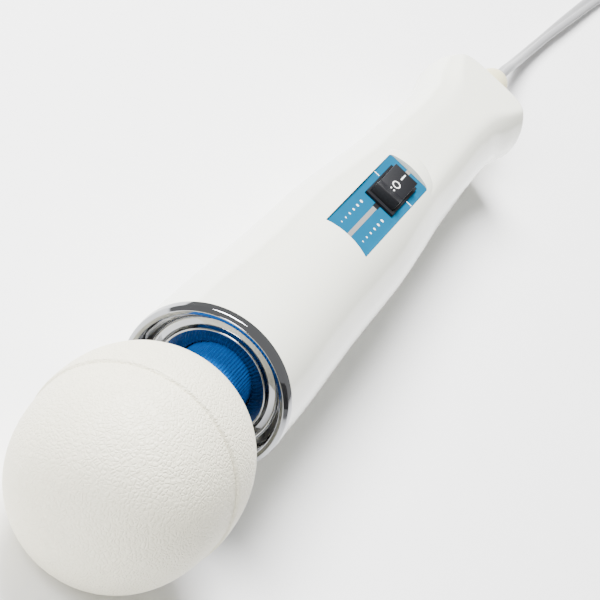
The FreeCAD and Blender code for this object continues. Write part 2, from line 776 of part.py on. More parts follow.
def switch_housing():
    """Snap-in switch body: bezel on the label, well for the rocker, bores for its pin."""
    body = new_body("switch_housing", "panel")
    long = D["switchHalfLength"]
    wide = D["switchHalfWidth"]
    bezel = new_sketch(body, "XY_Plane")
    draw_outline(bezel, box_corners(-wide, wide, -long, long))
    pad(body, bezel, BEZEL_RISE)
    inner_long = long - 1.0
    inner_wide = wide - 0.3
    trunk = new_sketch(body, "XY_Plane")
    draw_outline(trunk, box_corners(-inner_wide, inner_wide, -inner_long, inner_long))
    pad(body, trunk, D["switchDepth"], reverse=True)
    well = new_sketch(body, "XY_Plane", upright(0, 0, BEZEL_RISE))
    well_long = D["rockerHalfLength"] + 0.5
    well_wide = D["rockerHalfWidth"] + 0.15
    draw_outline(well, box_corners(-well_wide, well_wide, -well_long, well_long))
    pocket(body, well, 8.6)
    pin = new_sketch(body, "YZ_Plane")
    draw_circle(pin, 0.0, -D["rockerPinDepth"], D["rockerPinRadius"])
    pocket(body, pin, 16.0, both=True)


def rocker():
    """Two finger facets that meet in a crease just in front of the pin, so that both ends stand
    up in the middle position."""
    body = new_body("rocker", "panel")
    sketch = new_sketch(body, "YZ_Plane")
    long = D["rockerHalfLength"]
    pivot = -D["rockerPinDepth"]
    draw_outline(sketch, [
        (-(long - 0.9), pivot + 5.6),
        (-1.5, pivot + 3.0),
        (long - 0.9, pivot + 5.6),
        (long, pivot + 1.0),
        (4.0, pivot - 3.6),
        (-4.0, pivot - 3.6),
        (-long, pivot + 1.0),
    ])
    pad(body, sketch, D["rockerHalfWidth"] * 2.0, both=True)
    bore = new_sketch(body, "YZ_Plane")
    draw_circle(bore, 0.0, pivot, D["rockerPinRadius"] + 0.05)
    pocket(body, bore, 16.0, both=True)
    span = (D["switchHalfWidth"] - 0.35) * 2.0
    base = Vector(-span.value / 2, 0, pivot.value)
    keep("rocker_pin", cylinder(D["rockerPinRadius"], span,
                                Placement(base, Rotation(Y_AXIS, 90))), "panel")


def switch_parts():
    """Three brass tabs under the switch, and the diode that gives the lower speed."""
    depth = D["switchDepth"].value
    tabs = [block(4.0, 0.8, 6.0, Vector(-2.0, place - 0.4, -depth - 6.0))
            for place in (-6.5, 0.0, 6.5)]
    keep("switch_terminals", group(*tabs), "panel")
    height = -depth - 4.0
    lead = cylinder(0.4, 14.0, along_wand(3.6, -7.0, height))
    capsule = cylinder(1.3, 5.0, along_wand(3.6, -2.5, height))
    keep("speed_diode", fuse(capsule, lead), "panel")


# ---------------------------------------------------------------- motor


def sector(outer, inner, front, length, start, sweep):
    """Part of a ring about the wand's axis. Angles run from +X towards +Z."""
    stand = Placement(Vector(0, Size.of(front).value + Size.of(length).value, 0),
                      Rotation(Y_AXIS, -start).multiply(Rotation(X_AXIS, 90)))
    return tube(outer, inner, length, stand, sweep)


def motor_stator():
    """Laminated field stack, its two coils, the end brackets, bushes and bolts."""
    front = D["stackFront"]
    length = D["stackRear"] - front
    stack = tube(D["stackRadius"], D["stackBore"], length, along_wand(y=front.value))
    windows = group(*[sector(15.6, D["stackBore"] - 1.0, front - 1.0, length + 2.0, start, 48.0)
                      for start in (-24.0, 156.0)])
    bolt_holes = group(*[
        cylinder(1.4, length + 2.0, along_wand(0, front.value - 1, side * BOLT_REACH))
        for side in (-1, 1)])
    keep("field_stack", cut(cut(stack, windows), bolt_holes))
    coils = []
    for start in (5.0, 185.0):
        loop = sector(15.4, 11.6, front - 3.4, length + 6.8, start, 170.0)
        middle = sector(16.0, 11.0, front - 0.2, length + 0.4, start + 17.0, 136.0)
        coils.append(cut(loop, middle))
    keep("field_coils", group(*coils))
    width = D["bracketWidth"]
    for name, place, radius in (("front", D["frontBracket"], 19.4), ("rear", D["rearBracket"], 18.8)):
        body = new_body(f"{name}_bracket")
        turn(body, [(6.0, place), (radius, place), (radius, place + width), (6.0, place + width)])
        vent = new_sketch(body, "XZ_Plane", upright(0, 0, 1.0 - place.value))
        draw_circle(vent, 12.0, 0.0, 3.4)
        repeat_round_axis(body, pocket(body, vent, 5.0), 4)
        bolts = new_sketch(body, "XZ_Plane", upright(0, 0, 1.0 - place.value))
        for side in (-1, 1):
            draw_circle(bolts, 0.0, side * BOLT_REACH, 1.4)
        pocket(body, bolts, 5.0)
        shaft = D["motorShaftRadius"] + 0.05
        turned(f"{name}_bush", [(shaft, place - 0.8), (6.0, place - 0.8),
                                (6.0, place + width + 1.2), (shaft, place + width + 1.2)])
        seat = radius + 0.1
        tyre = D["barrelRadius"] - 0.3 - D["wall"] + (0.05 if name == "front" else -1.8)
        turned(f"{name}_mount_ring", [(seat, place), (tyre, place), (tyre, place + width),
                                      (seat, place + width)])
    bolts = []
    start = D["frontBracket"].value - 0.1
    finish = (D["rearBracket"] + width).value
    for side in (-1, 1):
        shank = cylinder(1.3, finish + 2.2 - start, along_wand(0, start, side * BOLT_REACH))
        nut = cylinder(2.4, 1.8, along_wand(0, finish + 0.05, side * BOLT_REACH))
        bolts.append(fuse(shank, nut))
    keep("motor_bolts", group(*bolts))


def motor_rotor():
    """Armature core with open slots, its winding, the commutator, fan and shaft."""
    shaft = D["motorShaftRadius"]
    turned("motor_shaft", [
        (0.0, D["shaftFront"]), (D["driveRadius"], D["shaftFront"]),
        (D["driveRadius"], D["shaftFront"] + 7.6), (shaft, D["shaftFront"] + 7.6),
        (shaft, D["shaftRear"]), (0.0, D["shaftRear"])])
    core = new_body("armature_core")
    turn(core, [(shaft, D["stackFront"]), (D["armatureRadius"], D["stackFront"]),
                (D["armatureRadius"], D["stackRear"]), (shaft, D["stackRear"])])
    slot = new_sketch(core, "XY_Plane", upright(0, 0, 0))
    draw_outline(slot, box_corners(6.0, 11.0, D["stackFront"] - 1.0, D["stackRear"] + 1.0))
    groove = pocket(core, slot, 1.7, both=True)
    repeat_round_axis(core, groove, D["armatureSlots"])
    ends = []
    for place, length in ((D["stackFront"].value - 4.8, 4.7), (D["stackRear"].value + 0.1, 4.4)):
        ends.append(tube(9.2, shaft, length, along_wand(y=place)))
    bars = []
    slots = DIMENSIONS["armatureSlots"]
    for count in range(slots):
        angle = 360.0 * count / slots
        bar = block(3.0, D["stackRear"] - D["stackFront"], 1.5, Vector(0, 0, 0))
        turned_place = Rotation(Y_AXIS, angle).multVec(Vector(6.1, 0, -0.75))
        bar.Placement = Placement(turned_place + Vector(0, D["stackFront"].value, 0),
                                  Rotation(Y_AXIS, angle))
        bars.append(bar)
    keep("armature_winding", group(*(ends + bars)))
    commutator = new_body("commutator")
    turn(commutator, [(shaft, D["commutatorFront"]),
                      (D["commutatorRadius"], D["commutatorFront"]),
                      (D["commutatorRadius"], D["commutatorRear"]),
                      (shaft, D["commutatorRear"])])
    gap = new_sketch(commutator, "XY_Plane")
    draw_outline(gap, box_corners(5.6, 7.0, D["commutatorFront"] - 1.0,
                                  D["commutatorRear"] + 1.0))
    groove = pocket(commutator, gap, 0.5, both=True)
    repeat_round_axis(commutator, groove, D["armatureSlots"])
    hub = tube(5.0, shaft, 4.2, along_wand(y=D["fanPlace"].value))
    plate = tube(D["fanRadius"], 4.6, 1.2, along_wand(y=D["fanPlace"].value))
    blades = []
    for count in range(FAN_BLADES):
        angle = 360.0 * count / FAN_BLADES
        blade = block(8.6, 3.2, 1.0, Vector(0, 0, 0))
        edge = Rotation(Y_AXIS, angle).multVec(Vector(6.2, 0, -0.5))
        blade.Placement = Placement(edge + Vector(0, D["fanPlace"].value + 1.1, 0),
                                    Rotation(Y_AXIS, angle))
        blades.append(blade)
    keep("cooling_fan", fuse(hub, plate, *blades))


def brush_gear():
    """Two carbon brushes in brass tubes, each pushed by a small spring."""
    middle = (D["commutatorFront"] + D["commutatorRear"]).value / 2
    tubes, brushes, springs = [], [], []
    for side in (-1, 1):
        inner = D["commutatorRadius"].value
        low = side * (inner + 2.0) if side > 0 else -(inner + 12.0)
        outer_box = block(10.0, 6.6, 5.6, Vector(low, middle - 3.3, -2.8))
        bore = block(12.0, 5.2, 4.2, Vector(low - 1.0, middle - 2.6, -2.1))
        tubes.append(cut(outer_box, bore))
        start = inner + 0.05 if side > 0 else -(inner + 7.05)
        brushes.append(block(7.0, 5.0, 4.0, Vector(start, middle - 2.5, -2.0)))
        stand = Placement(Vector(side * (inner + 7.6), middle, 0), Rotation(Y_AXIS, side * 90))
        springs.append(spring(BRUSH_SPRING_RADIUS, BRUSH_SPRING_WIRE, 1.2, 3.6, stand))
    keep("brush_tubes", group(*tubes))
    keep("carbon_brushes", group(*brushes))
    keep("brush_springs", group(*springs))


# ---------------------------------------------------------------- mains lead


def strain_relief():
    """Cream moulded relief: a flange inside the end wall and a tapering sleeve outside."""
    inside = D["casingRear"] - D["endWall"]
    bore = D["cordRadius"] + 0.1
    tip = D["reliefTipRadius"]
    base = D["reliefRadius"]
    turned("strain_relief", [
        (bore, inside - 3.0), (9.0, inside - 3.0), (9.0, inside - 0.05),
        (D["leadHole"] - 0.1, inside - 0.05), (D["leadHole"] - 0.1, D["casingRear"] + 0.1),
        (base + 0.5, D["casingRear"] + 0.1), (base + 0.4, D["casingRear"] + 3.0, -60.0),
        (tip + 0.3, D["reliefRear"] - 1.0, -1.2), (tip - 0.3, D["reliefRear"]),
        (bore, D["reliefRear"])])
    start = CLAMP_PLACE - 9.0
    keep("inner_cord", cylinder(D["cordRadius"], D["reliefRear"] - start, along_wand(y=start)))


def wiring():
    """Insulated leads from the clamp to the switch, and from the switch to the brushes."""
    wires = []
    for side in (-1, 1):
        start = CLAMP_PLACE - 9.2
        wires.append([Vector(side * 1.3, start, 0), Vector(side * 2.0, start - 15, -1.5),
                      Vector(side * 4.2, start - 40, -3), Vector(side * 4.4, start - 62, -2),
                      Vector(side * 4.0, start - 80, 1.0)])
        wires.append([Vector(side * 5.0, 196, 1.0), Vector(side * 6.5, 189, -1.0),
                      Vector(side * 6.5, 181, -6.0), Vector(side * 12.0, 175, -8.0)])
    solids = [swept_tube(points, 0.9)[0] for points in wires]
    thing = doc.addObject("Part::Feature", "Wires")
    thing.Shape = Part.makeCompound(solids)
    keep("lead_wires", thing)


def mains_lead(exit_point, heading):
    """Tube from the strain relief to the coil, the coil, and the tube to the plug."""
    radius = D["cordRadius"].value
    points = [exit_point, exit_point + heading * LEAD_START]
    points += [Vector(x, exit_point.y + LEAD_START + reach, height)
               for x, reach, height in LEAD_ROUTE]
    radii = []
    solid, length = swept_tube(points, radius, radii)
    print("lead radii", radii, "length", round(length, 1))
    for point in points:
        print("lead point", [round(value, 1) for value in point])
    lead = doc.addObject("Part::Feature", "Lead")
    lead.Shape = solid
    keep("power_cord", lead, "row")
    coil = tube(COIL_OUTER, COIL_INNER, COIL_HEIGHT, upright(*COIL_CENTRE, GROUND_GAP))
    keep("cord_coil", coil, "row")
    ends = [Vector(x, y, TAIL_HEIGHT) for x, y in TAIL_ROUTE]
    radii = []
    solid, tail_length = swept_tube(ends, radius, radii)
    print("tail radii", radii, "length", round(tail_length, 1))
    tail = doc.addObject("Part::Feature", "LeadEnd")
    tail.Shape = solid
    keep("cord_end", tail, "row")


def plug():
    """Moulded two-blade plug that lies flat in front of the coil's side."""
    body = new_body("plug_body", "row")
    sketch = new_sketch(body, "XY_Plane", upright(0, 0, GROUND_GAP))
    middle = TAIL_ROUTE[-1][0]
    back = PLUG_BACK
    front = PLUG_BACK - PLUG_LENGTH
    shoulder = PLUG_BACK - PLUG_LENGTH / 2
    draw_outline(sketch, [
        (middle - 6.0, back), (middle + 6.0, back),
        (middle + PLUG_HALF_WIDTH, shoulder), (middle + PLUG_HALF_WIDTH, front),
        (middle - PLUG_HALF_WIDTH, front), (middle - PLUG_HALF_WIDTH, shoulder)])
    pad(body, sketch, PLUG_HEIGHT)
    low = GROUND_GAP + (PLUG_HEIGHT - BLADE_WIDTH) / 2
    blades = []
    for side in (-1, 1):
        inner_edge = middle + side * BLADE_PITCH / 2 - BLADE_THICKNESS / 2
        corner = Vector(inner_edge, front - 0.05 - BLADE_LENGTH, low)
        blades.append(block(BLADE_THICKNESS, BLADE_LENGTH, BLADE_WIDTH, corner))
    keep("plug_blades", group(*blades), "row")


# ---------------------------------------------------------------- building and placing


def build_wand():
    head_cover()
    front_seat, rear_seat = head_core()
    ball_bearing("front", front_seat)
    ball_bearing("rear", rear_seat)
    head_drive(front_seat, rear_seat)
    neck()
    collar()
    upper_shell()
    lower_shell()
    fasteners()
    label_plate()
    switch_housing()
    rocker()
    switch_parts()
    motor_stator()
    motor_rotor()
    brush_gear()
    strain_relief()
    wiring()


def wand_placement():
    """The wand lies on its head's rear band and its tail rim: it is tipped until both touch."""
    shoulder = D["rearShoulder"].value
    head_in = D["headBandRadius"].value - shoulder
    rim = D["rimRadius"].value
    rim_in = D["flareRadius"].value - rim
    span = D["casingRear"].value - rim - D["headBandRear"].value
    drop = head_in - rim_in
    tip = math.asin((shoulder - rim) / math.hypot(span, drop)) - math.atan2(-drop, span)
    below = D["headBandRear"].value * math.sin(tip) + head_in * math.cos(tip) + shoulder
    lean = Rotation(X_AXIS, -math.degrees(tip))
    nose_low = Placement(Vector(0, 0, below), lean)
    lowest, highest = 1e9, -1e9
    for label, thing in nodes.items():
        if seats[label] == "wand":
            bounds = thing.Shape.transformed(nose_low.toMatrix()).optimalBoundingBox()
            lowest, highest = min(lowest, bounds.YMin), max(highest, bounds.YMax)
    return Placement(Vector(0, -(lowest + highest) / 2, below), lean)


def check_states():
    """Stop with the names of the objects that failed or made no valid solid."""
    failed = [thing.Label for thing in doc.Objects
              if "Invalid" in thing.State or "Error" in thing.State]
    failed += [label for label, thing in nodes.items()
               if thing.Shape.isNull() or not thing.Shape.isValid() or not thing.Shape.Solids]
    if failed:
        raise RuntimeError("did not build: " + ", ".join(failed))


def place_and_write():
    doc.recompute()
    check_states()
    wand = wand_placement()
    print("wand placement", wand, "panel", wand.multiply(panel_plane(0.0)))
    exit_point = wand.multVec(Vector(0, D["reliefRear"].value, 0))
    heading = wand.Rotation.multVec(Y_AXIS)
    mains_lead(exit_point, heading)
    plug()
    frames = {"wand": wand, "panel": wand.multiply(panel_plane(0.0)), "row": Placement()}
    for label, thing in nodes.items():
        thing.Placement = frames[seats[label]].multiply(thing.Placement)
    doc.recompute()
    check_states()
    os.makedirs("parts", exist_ok=True)
    for label, thing in nodes.items():
        thing.Shape.exportStep(f"parts/{label}.step")
        bounds = thing.Shape.optimalBoundingBox()
        print(f"{label:26s} solids {len(thing.Shape.Solids):2d}  volume {thing.Shape.Volume:9.1f}"
              f"  y {bounds.YMin:7.1f} {bounds.YMax:7.1f}  z {bounds.ZMin:6.2f} {bounds.ZMax:6.2f}")


build_wand()
place_and_write()
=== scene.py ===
import json
import math

import bmesh
import bpy
from mathutils import Matrix, Vector


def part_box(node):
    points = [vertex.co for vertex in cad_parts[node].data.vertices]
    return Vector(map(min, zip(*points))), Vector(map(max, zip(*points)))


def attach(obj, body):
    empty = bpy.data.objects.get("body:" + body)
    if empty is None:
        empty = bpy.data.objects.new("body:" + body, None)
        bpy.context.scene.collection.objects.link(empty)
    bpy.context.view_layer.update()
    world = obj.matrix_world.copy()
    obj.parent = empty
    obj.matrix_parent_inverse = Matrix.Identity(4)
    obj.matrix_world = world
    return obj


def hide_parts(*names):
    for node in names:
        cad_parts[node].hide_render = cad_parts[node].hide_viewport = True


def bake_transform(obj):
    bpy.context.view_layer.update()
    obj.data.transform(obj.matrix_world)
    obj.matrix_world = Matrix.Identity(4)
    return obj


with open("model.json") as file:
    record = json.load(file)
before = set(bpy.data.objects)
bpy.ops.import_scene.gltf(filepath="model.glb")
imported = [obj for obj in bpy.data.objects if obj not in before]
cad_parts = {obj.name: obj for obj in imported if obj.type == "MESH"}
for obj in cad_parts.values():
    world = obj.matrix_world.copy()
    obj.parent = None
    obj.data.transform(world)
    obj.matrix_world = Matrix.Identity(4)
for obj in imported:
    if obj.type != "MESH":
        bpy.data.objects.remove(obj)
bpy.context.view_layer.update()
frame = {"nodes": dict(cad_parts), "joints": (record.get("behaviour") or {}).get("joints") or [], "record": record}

# Handheld wand massager. Most pieces are drawn in the wand's own frame, in millimetres: X across,
# Y along the axis from the nose of the head, Z towards the switch. WAND carries them to the row
# frame, in metres. The panel frame, PANEL, lies on the label's face with its origin at the rocker.

MM = 0.001
NODES = frame["nodes"]
JOINTS = {joint["name"]: joint for joint in frame["joints"]}
NECK_PIVOT = 84.0                 # place of the neck's pivot along the wand
PANEL_TILT = math.radians(2.0)    # the label dips towards the tail
PIN_DEPTH = 1.5                   # of the rocker's pin below the label's face

ALONG = Vector(JOINTS["rotor_spin"]["axis"]).normalized()
UP = Vector(JOINTS["neck_yaw"]["axis"]).normalized()
NOSE = Vector(JOINTS["neck_yaw"]["pos_m"]) - ALONG * NECK_PIVOT * MM


def frame_matrix(origin, along, up):
    """Matrix from a frame in millimetres, Y along and Z up, to the row frame in metres."""
    turn = Matrix((along.cross(up), along, up)).transposed()
    return Matrix.LocRotScale(origin, turn, Vector((MM, MM, MM)))


WAND = frame_matrix(NOSE, ALONG, UP)
PANEL_ALONG = ALONG * math.cos(PANEL_TILT) - UP * math.sin(PANEL_TILT)
PANEL_UP = UP * math.cos(PANEL_TILT) + ALONG * math.sin(PANEL_TILT)
PANEL = frame_matrix(Vector(JOINTS["rocker_tilt"]["pos_m"]) + PANEL_UP * PIN_DEPTH * MM,
                     PANEL_ALONG, PANEL_UP)
PANEL_IN_WAND = WAND.inverted() @ PANEL
ROW = Matrix.Identity(4)


# ---------------------------------------------------------------- camera, light and floor


EYE = Vector((0.0, -0.7096, 0.5063))
EYE_AHEAD = Vector((0.00322, 0.82077, -0.57125))
EYE_UP = Vector((-0.68647, 0.41720, 0.59557))
FOCAL_LENGTH, SENSOR_WIDTH = 166.2, 36.0
LIGHT_AIM = Vector((0.0, 0.0, 0.03))
CARD_AIM = Vector((0.0, -0.09, 0.03))     # the collar, which mirrors the cards
SKY_STRENGTH = 0.5
FLOOR_HALF, FLOOR_DROP = 4.0, 0.0002


def camera():
    """Low three-quarter view from in front of the head, rolled so that the wand runs diagonally."""
    forward = EYE_AHEAD.normalized()
    right = forward.cross(EYE_UP).normalized()
    up = right.cross(forward)
    lens = bpy.data.cameras.new("Camera")
    lens.lens = FOCAL_LENGTH
    lens.sensor_width = SENSOR_WIDTH
    eye = bpy.data.objects.new("Camera", lens)
    turn = Matrix((right, up, -forward)).transposed()
    eye.matrix_world = Matrix.LocRotScale(EYE, turn, None)
    bpy.context.scene.collection.objects.link(eye)
    bpy.context.scene.camera = eye


def soft_light(name, place, size, power):
    """A square area light that faces the wand's middle."""
    lamp = bpy.data.lights.new(name, "AREA")
    lamp.size = size
    lamp.energy = power
    holder = bpy.data.objects.new(name, lamp)
    aim = LIGHT_AIM - Vector(place)
    holder.matrix_world = Matrix.LocRotScale(Vector(place), aim.to_track_quat("-Z", "Y"), None)
    bpy.context.scene.collection.objects.link(holder)


def dark_card(name, place, width, height):
    """A black card for the chrome and the gloss to mirror, which hides nothing in any view."""
    card = bmesh.new()
    bmesh.ops.create_grid(card, x_segments=1, y_segments=1, size=0.5)
    mesh = bpy.data.meshes.new(name)
    card.to_mesh(mesh)
    card.free()
    mesh.materials.append(surface(name, (0.012, 0.012, 0.013), 0.8, shade=0.1))
    holder = bpy.data.objects.new(name, mesh)
    aim = CARD_AIM - Vector(place)
    holder.matrix_world = Matrix.LocRotScale(Vector(place), aim.to_track_quat("-Z", "Y"),
                                             Vector((width, height, 1.0)))
    holder.visible_camera = False
    bpy.context.scene.collection.objects.link(holder)


def studio():
    """White surroundings, two soft lights, two dark cards and a plain pale floor."""
    world = bpy.data.worlds.new("Studio")
    bpy.context.scene.world = world
    world.use_nodes = True
    backdrop = world.node_tree.nodes["Background"]
    backdrop.inputs["Color"].default_value = (1.0, 1.0, 1.0, 1.0)
    backdrop.inputs["Strength"].default_value = SKY_STRENGTH
    soft_light("KeyLight", (-0.55, 0.25, 0.95), 0.6, 62.0)
    soft_light("FrontLight", (-0.35, -0.85, 0.7), 0.4, 14.0)
    dark_card("DarkCardFront", (0.12, -0.95, 0.16), 0.9, 0.22)
    dark_card("DarkCardRight", (0.75, -0.25, 0.3), 0.8, 0.35)
    sheet = bmesh.new()
    bmesh.ops.create_grid(sheet, x_segments=2, y_segments=2, size=FLOOR_HALF)
    mesh = bpy.data.meshes.new("Floor")
    sheet.to_mesh(mesh)
    sheet.free()
    floor = bpy.data.objects.new("Floor", mesh)
    floor.location.z = -FLOOR_DROP
    bpy.context.scene.collection.objects.link(floor)
    mesh.materials.append(surface("FloorPaper", (0.93, 0.93, 0.93), 0.75, shade=0.01))


# ---------------------------------------------------------------- materials


def node_of(tree, kind, **inputs):
    """Adds a shader node and sets its inputs."""
    node = tree.nodes.new(kind)
    for name, value in inputs.items():
        node.inputs[name].default_value = value
    return node


def leather(tree, place, strength, size):
    """Bump of creases between uneven cells, size of them to the metre."""
    drift = node_of(tree, "ShaderNodeTexNoise", Scale=size * 0.45, Detail=3.0)
    tree.links.new(place.outputs["Vector"], drift.inputs["Vector"])
    shift = tree.nodes.new("ShaderNodeVectorMath")
    shift.operation = "MULTIPLY_ADD"
    shift.inputs[1].default_value = (1.3 / size,) * 3
    tree.links.new(drift.outputs["Color"], shift.inputs[0])
    tree.links.new(place.outputs["Vector"], shift.inputs[2])
    cells = node_of(tree, "ShaderNodeTexVoronoi", Scale=size)
    cells.feature = "DISTANCE_TO_EDGE"
    tree.links.new(shift.outputs["Vector"], cells.inputs["Vector"])
    crease = node_of(tree, "ShaderNodeMapRange")
    crease.interpolation_type = "SMOOTHSTEP"
    crease.inputs["From Max"].default_value = 0.28
    tree.links.new(cells.outputs["Distance"], crease.inputs["Value"])
    bump = node_of(tree, "ShaderNodeBump", Strength=strength, Distance=0.00025)
    tree.links.new(crease.outputs["Result"], bump.inputs["Height"])
    return bump


def surface(name, colour, roughness, metal=0.0, shade=0.04, mottle=60.0, grain=0.0,
            grain_size=900.0, wrinkle=0.0, wrinkle_size=650.0, spread=0.08, coat=0.0,
            gloss=0.5, stretch=(1.0, 1.0, 1.0)):
    """A procedural finish. shade is how far the colour drifts over mottle (per metre), spread how
    far the roughness does, grain a fine noise relief, wrinkle a leather-like one and gloss the
    strength of the shine."""
    material = bpy.data.materials.new(name)
    material.use_nodes = True
    tree = material.node_tree
    shader = tree.nodes["Principled BSDF"]
    shader.inputs["Metallic"].default_value = metal
    shader.inputs["Coat Weight"].default_value = coat
    shader.inputs["Coat Roughness"].default_value = 0.06
    shader.inputs["Specular IOR Level"].default_value = gloss
    place = tree.nodes.new("ShaderNodeTexCoord")
    scale = node_of(tree, "ShaderNodeMapping", Scale=stretch)
    tree.links.new(place.outputs["Object"], scale.inputs["Vector"])
    cloud = node_of(tree, "ShaderNodeTexNoise", Scale=mottle, Detail=5.0, Roughness=0.6)
    tree.links.new(scale.outputs["Vector"], cloud.inputs["Vector"])
    tones = tree.nodes.new("ShaderNodeValToRGB")
    tones.color_ramp.elements[0].position = 0.3
    tones.color_ramp.elements[1].position = 0.7
    for element, gain in zip(tones.color_ramp.elements, (1.0 - shade, 1.0 + shade / 2)):
        element.color = (*[min(1.0, channel * gain) for channel in colour], 1.0)
    tree.links.new(cloud.outputs["Fac"], tones.inputs["Fac"])
    tree.links.new(tones.outputs["Color"], shader.inputs["Base Color"])
    polish = node_of(tree, "ShaderNodeMapRange")
    polish.inputs["To Min"].default_value = max(0.02, roughness - spread / 2)
    polish.inputs["To Max"].default_value = min(1.0, roughness + spread / 2)
    tree.links.new(cloud.outputs["Fac"], polish.inputs["Value"])
    tree.links.new(polish.outputs["Result"], shader.inputs["Roughness"])
    relief = None
    if wrinkle:
        relief = leather(tree, scale, wrinkle, wrinkle_size)
    if grain:
        fine = node_of(tree, "ShaderNodeTexNoise", Scale=grain_size, Detail=4.0)
        tree.links.new(scale.outputs["Vector"], fine.inputs["Vector"])
        bump = node_of(tree, "ShaderNodeBump", Strength=grain, Distance=0.0002)
        tree.links.new(fine.outputs["Fac"], bump.inputs["Height"])
        if relief:
            tree.links.new(relief.outputs["Normal"], bump.inputs["Normal"])
        relief = bump
    if relief:
        tree.links.new(relief.outputs["Normal"], shader.inputs["Normal"])
    return material


FINISHES = {
    "head_vinyl": surface("HeadVinyl", (0.84, 0.8, 0.63), 0.46, grain=0.3, grain_size=1800.0,
                          wrinkle=0.6, wrinkle_size=800.0, shade=0.03),
    "inner_plastic": surface("InnerPlastic", (0.09, 0.09, 0.1), 0.5, grain=0.2),
    "steel": surface("Steel", (0.56, 0.56, 0.58), 0.3, metal=1.0, grain=0.15, grain_size=2500.0,
                     stretch=(1.0, 0.15, 1.0)),
    "neck_blue": surface("NeckBlue", (0.0, 0.1, 0.4), 0.4, gloss=0.25, grain=0.12, shade=0.12),
    # Chrome's colour is set well below real chrome's, a painted dark reflection that stands in for dark
    # surroundings, besides the dark cards it mirrors
    "chrome": surface("Chrome", (0.27, 0.275, 0.285), 0.05, metal=1.0, spread=0.04, shade=0.03,
                      grain=0.01, grain_size=120.0),
    "casing_white": surface("CasingWhite", (0.85, 0.855, 0.75), 0.17, spread=0.05, shade=0.02,
                            mottle=25.0, grain=0.015, grain_size=300.0, coat=0.5),
    "label_blue": surface("LabelBlue", (0.0, 0.078, 0.155), 0.5, gloss=0.06, grain=0.08, shade=0.06,
                          mottle=120.0),
    "switch_black": surface("SwitchBlack", (0.003, 0.0033, 0.005), 0.5, gloss=0.25, grain=0.12,
                            grain_size=3000.0, shade=0.25),
    "brass": surface("Brass", (0.66, 0.49, 0.22), 0.28, metal=1.0, grain=0.1, shade=0.1),
    "diode_black": surface("DiodeBlack", (0.03, 0.03, 0.03), 0.3, grain=0.1),
    "copper": surface("EnamelledCopper", (0.52, 0.2, 0.08), 0.3, metal=1.0, grain=0.4,
                      grain_size=2600.0, shade=0.2),
    "carbon": surface("Carbon", (0.03, 0.03, 0.032), 0.6, grain=0.3, shade=0.2),
    "rubber": surface("Rubber", (0.025, 0.025, 0.025), 0.7, grain=0.35, shade=0.2),
    "relief_cream": surface("ReliefCream", (0.7, 0.65, 0.42), 0.42, grain=0.15, shade=0.05),
    # The lead's vinyl is light grey-white; this mid grey is partly its own tone and partly painted shade
    "cord_white": surface("CordVinylPaintedShade", (0.27, 0.27, 0.275), 0.38, grain=0.12, shade=0.03),
}
STRIPE = surface("PrintedStripe", (0.2, 0.19, 0.18), 0.45, grain=0.1, shade=0.08)
MARK = surface("PrintedMark", (0.85, 0.86, 0.86), 0.4, grain=0.05)


def dress_cad_nodes():
    """Gives every CAD node the finish of its own material slot."""
    for part in frame["record"]["subparts"]:
        mesh = NODES[part["node"]].data
        mesh.materials.clear()
        mesh.materials.append(FINISHES[part["material_slot"]])


# ---------------------------------------------------------------- mesh helpers


def blend_step(t):
    """Goes smoothly from 0 to 1 as t does, and stays there outside."""
    t = min(max(t, 0.0), 1.0)
    return t * t * (3 - 2 * t)


def piece(name, shape, body, slot, replaces=(), material=None, place=WAND, sharp=38.0):
    """Turns a bmesh drawn in a frame of its own into a shaded piece that rides on a body."""
    bmesh.ops.remove_doubles(shape, verts=shape.verts, dist=1e-5)
    bmesh.ops.recalc_face_normals(shape, faces=shape.faces)
    mesh = bpy.data.meshes.new(name)
    shape.to_mesh(mesh)
    shape.free()
    mesh.transform(place)
    mesh.polygons.foreach_set("use_smooth", [True] * len(mesh.polygons))
    mesh.set_sharp_from_angle(angle=math.radians(sharp))
    mesh.materials.append(material or FINISHES[slot])
    thing = bpy.data.objects.new(name, mesh)
    bpy.context.scene.collection.objects.link(thing)
    if body:
        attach(thing, body)
    if replaces:
        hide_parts(*replaces)
    return thing


def rounded(corners, steps=5):
    """Points of an open outline of (across, along, radius) corners, each rounded by its radius."""
    points = []
    for index, (across, along, radius) in enumerate(corners):
        corner = Vector((across, along))
        if radius <= 0 or index in (0, len(corners) - 1):
            points.append(corner)
            continue
        arriving = (Vector(corners[index - 1][:2]) - corner).normalized()
        leaving = (Vector(corners[index + 1][:2]) - corner).normalized()
        half = arriving.angle(leaving) / 2
        setback = radius / math.tan(half)
        centre = corner + (arriving + leaving).normalized() * (radius / math.sin(half))
        start, finish = corner + arriving * setback - centre, corner + leaving * setback - centre
        for step in range(steps + 1):
            spoke = start.lerp(finish, step / steps).normalized()
            points.append(centre + spoke * radius)
    return points


def through(knots, per_span):
    """Catmull-Rom points through (across, along) knots."""
    knots = [Vector(knot) for knot in knots]
    ends = [knots[0] * 2 - knots[1]] + knots + [knots[-1] * 2 - knots[-2]]
    points = []
    for a, b, c, d in zip(ends, ends[1:], ends[2:], ends[3:]):
        for step in range(per_span):
            t = step / per_span
            points.append(0.5 * ((2 * b) + (c - a) * t + (2 * a - 5 * b + 4 * c - d) * t * t
                                 + (3 * b - a - 3 * c + d) * t ** 3))
    return points + [knots[-1]]


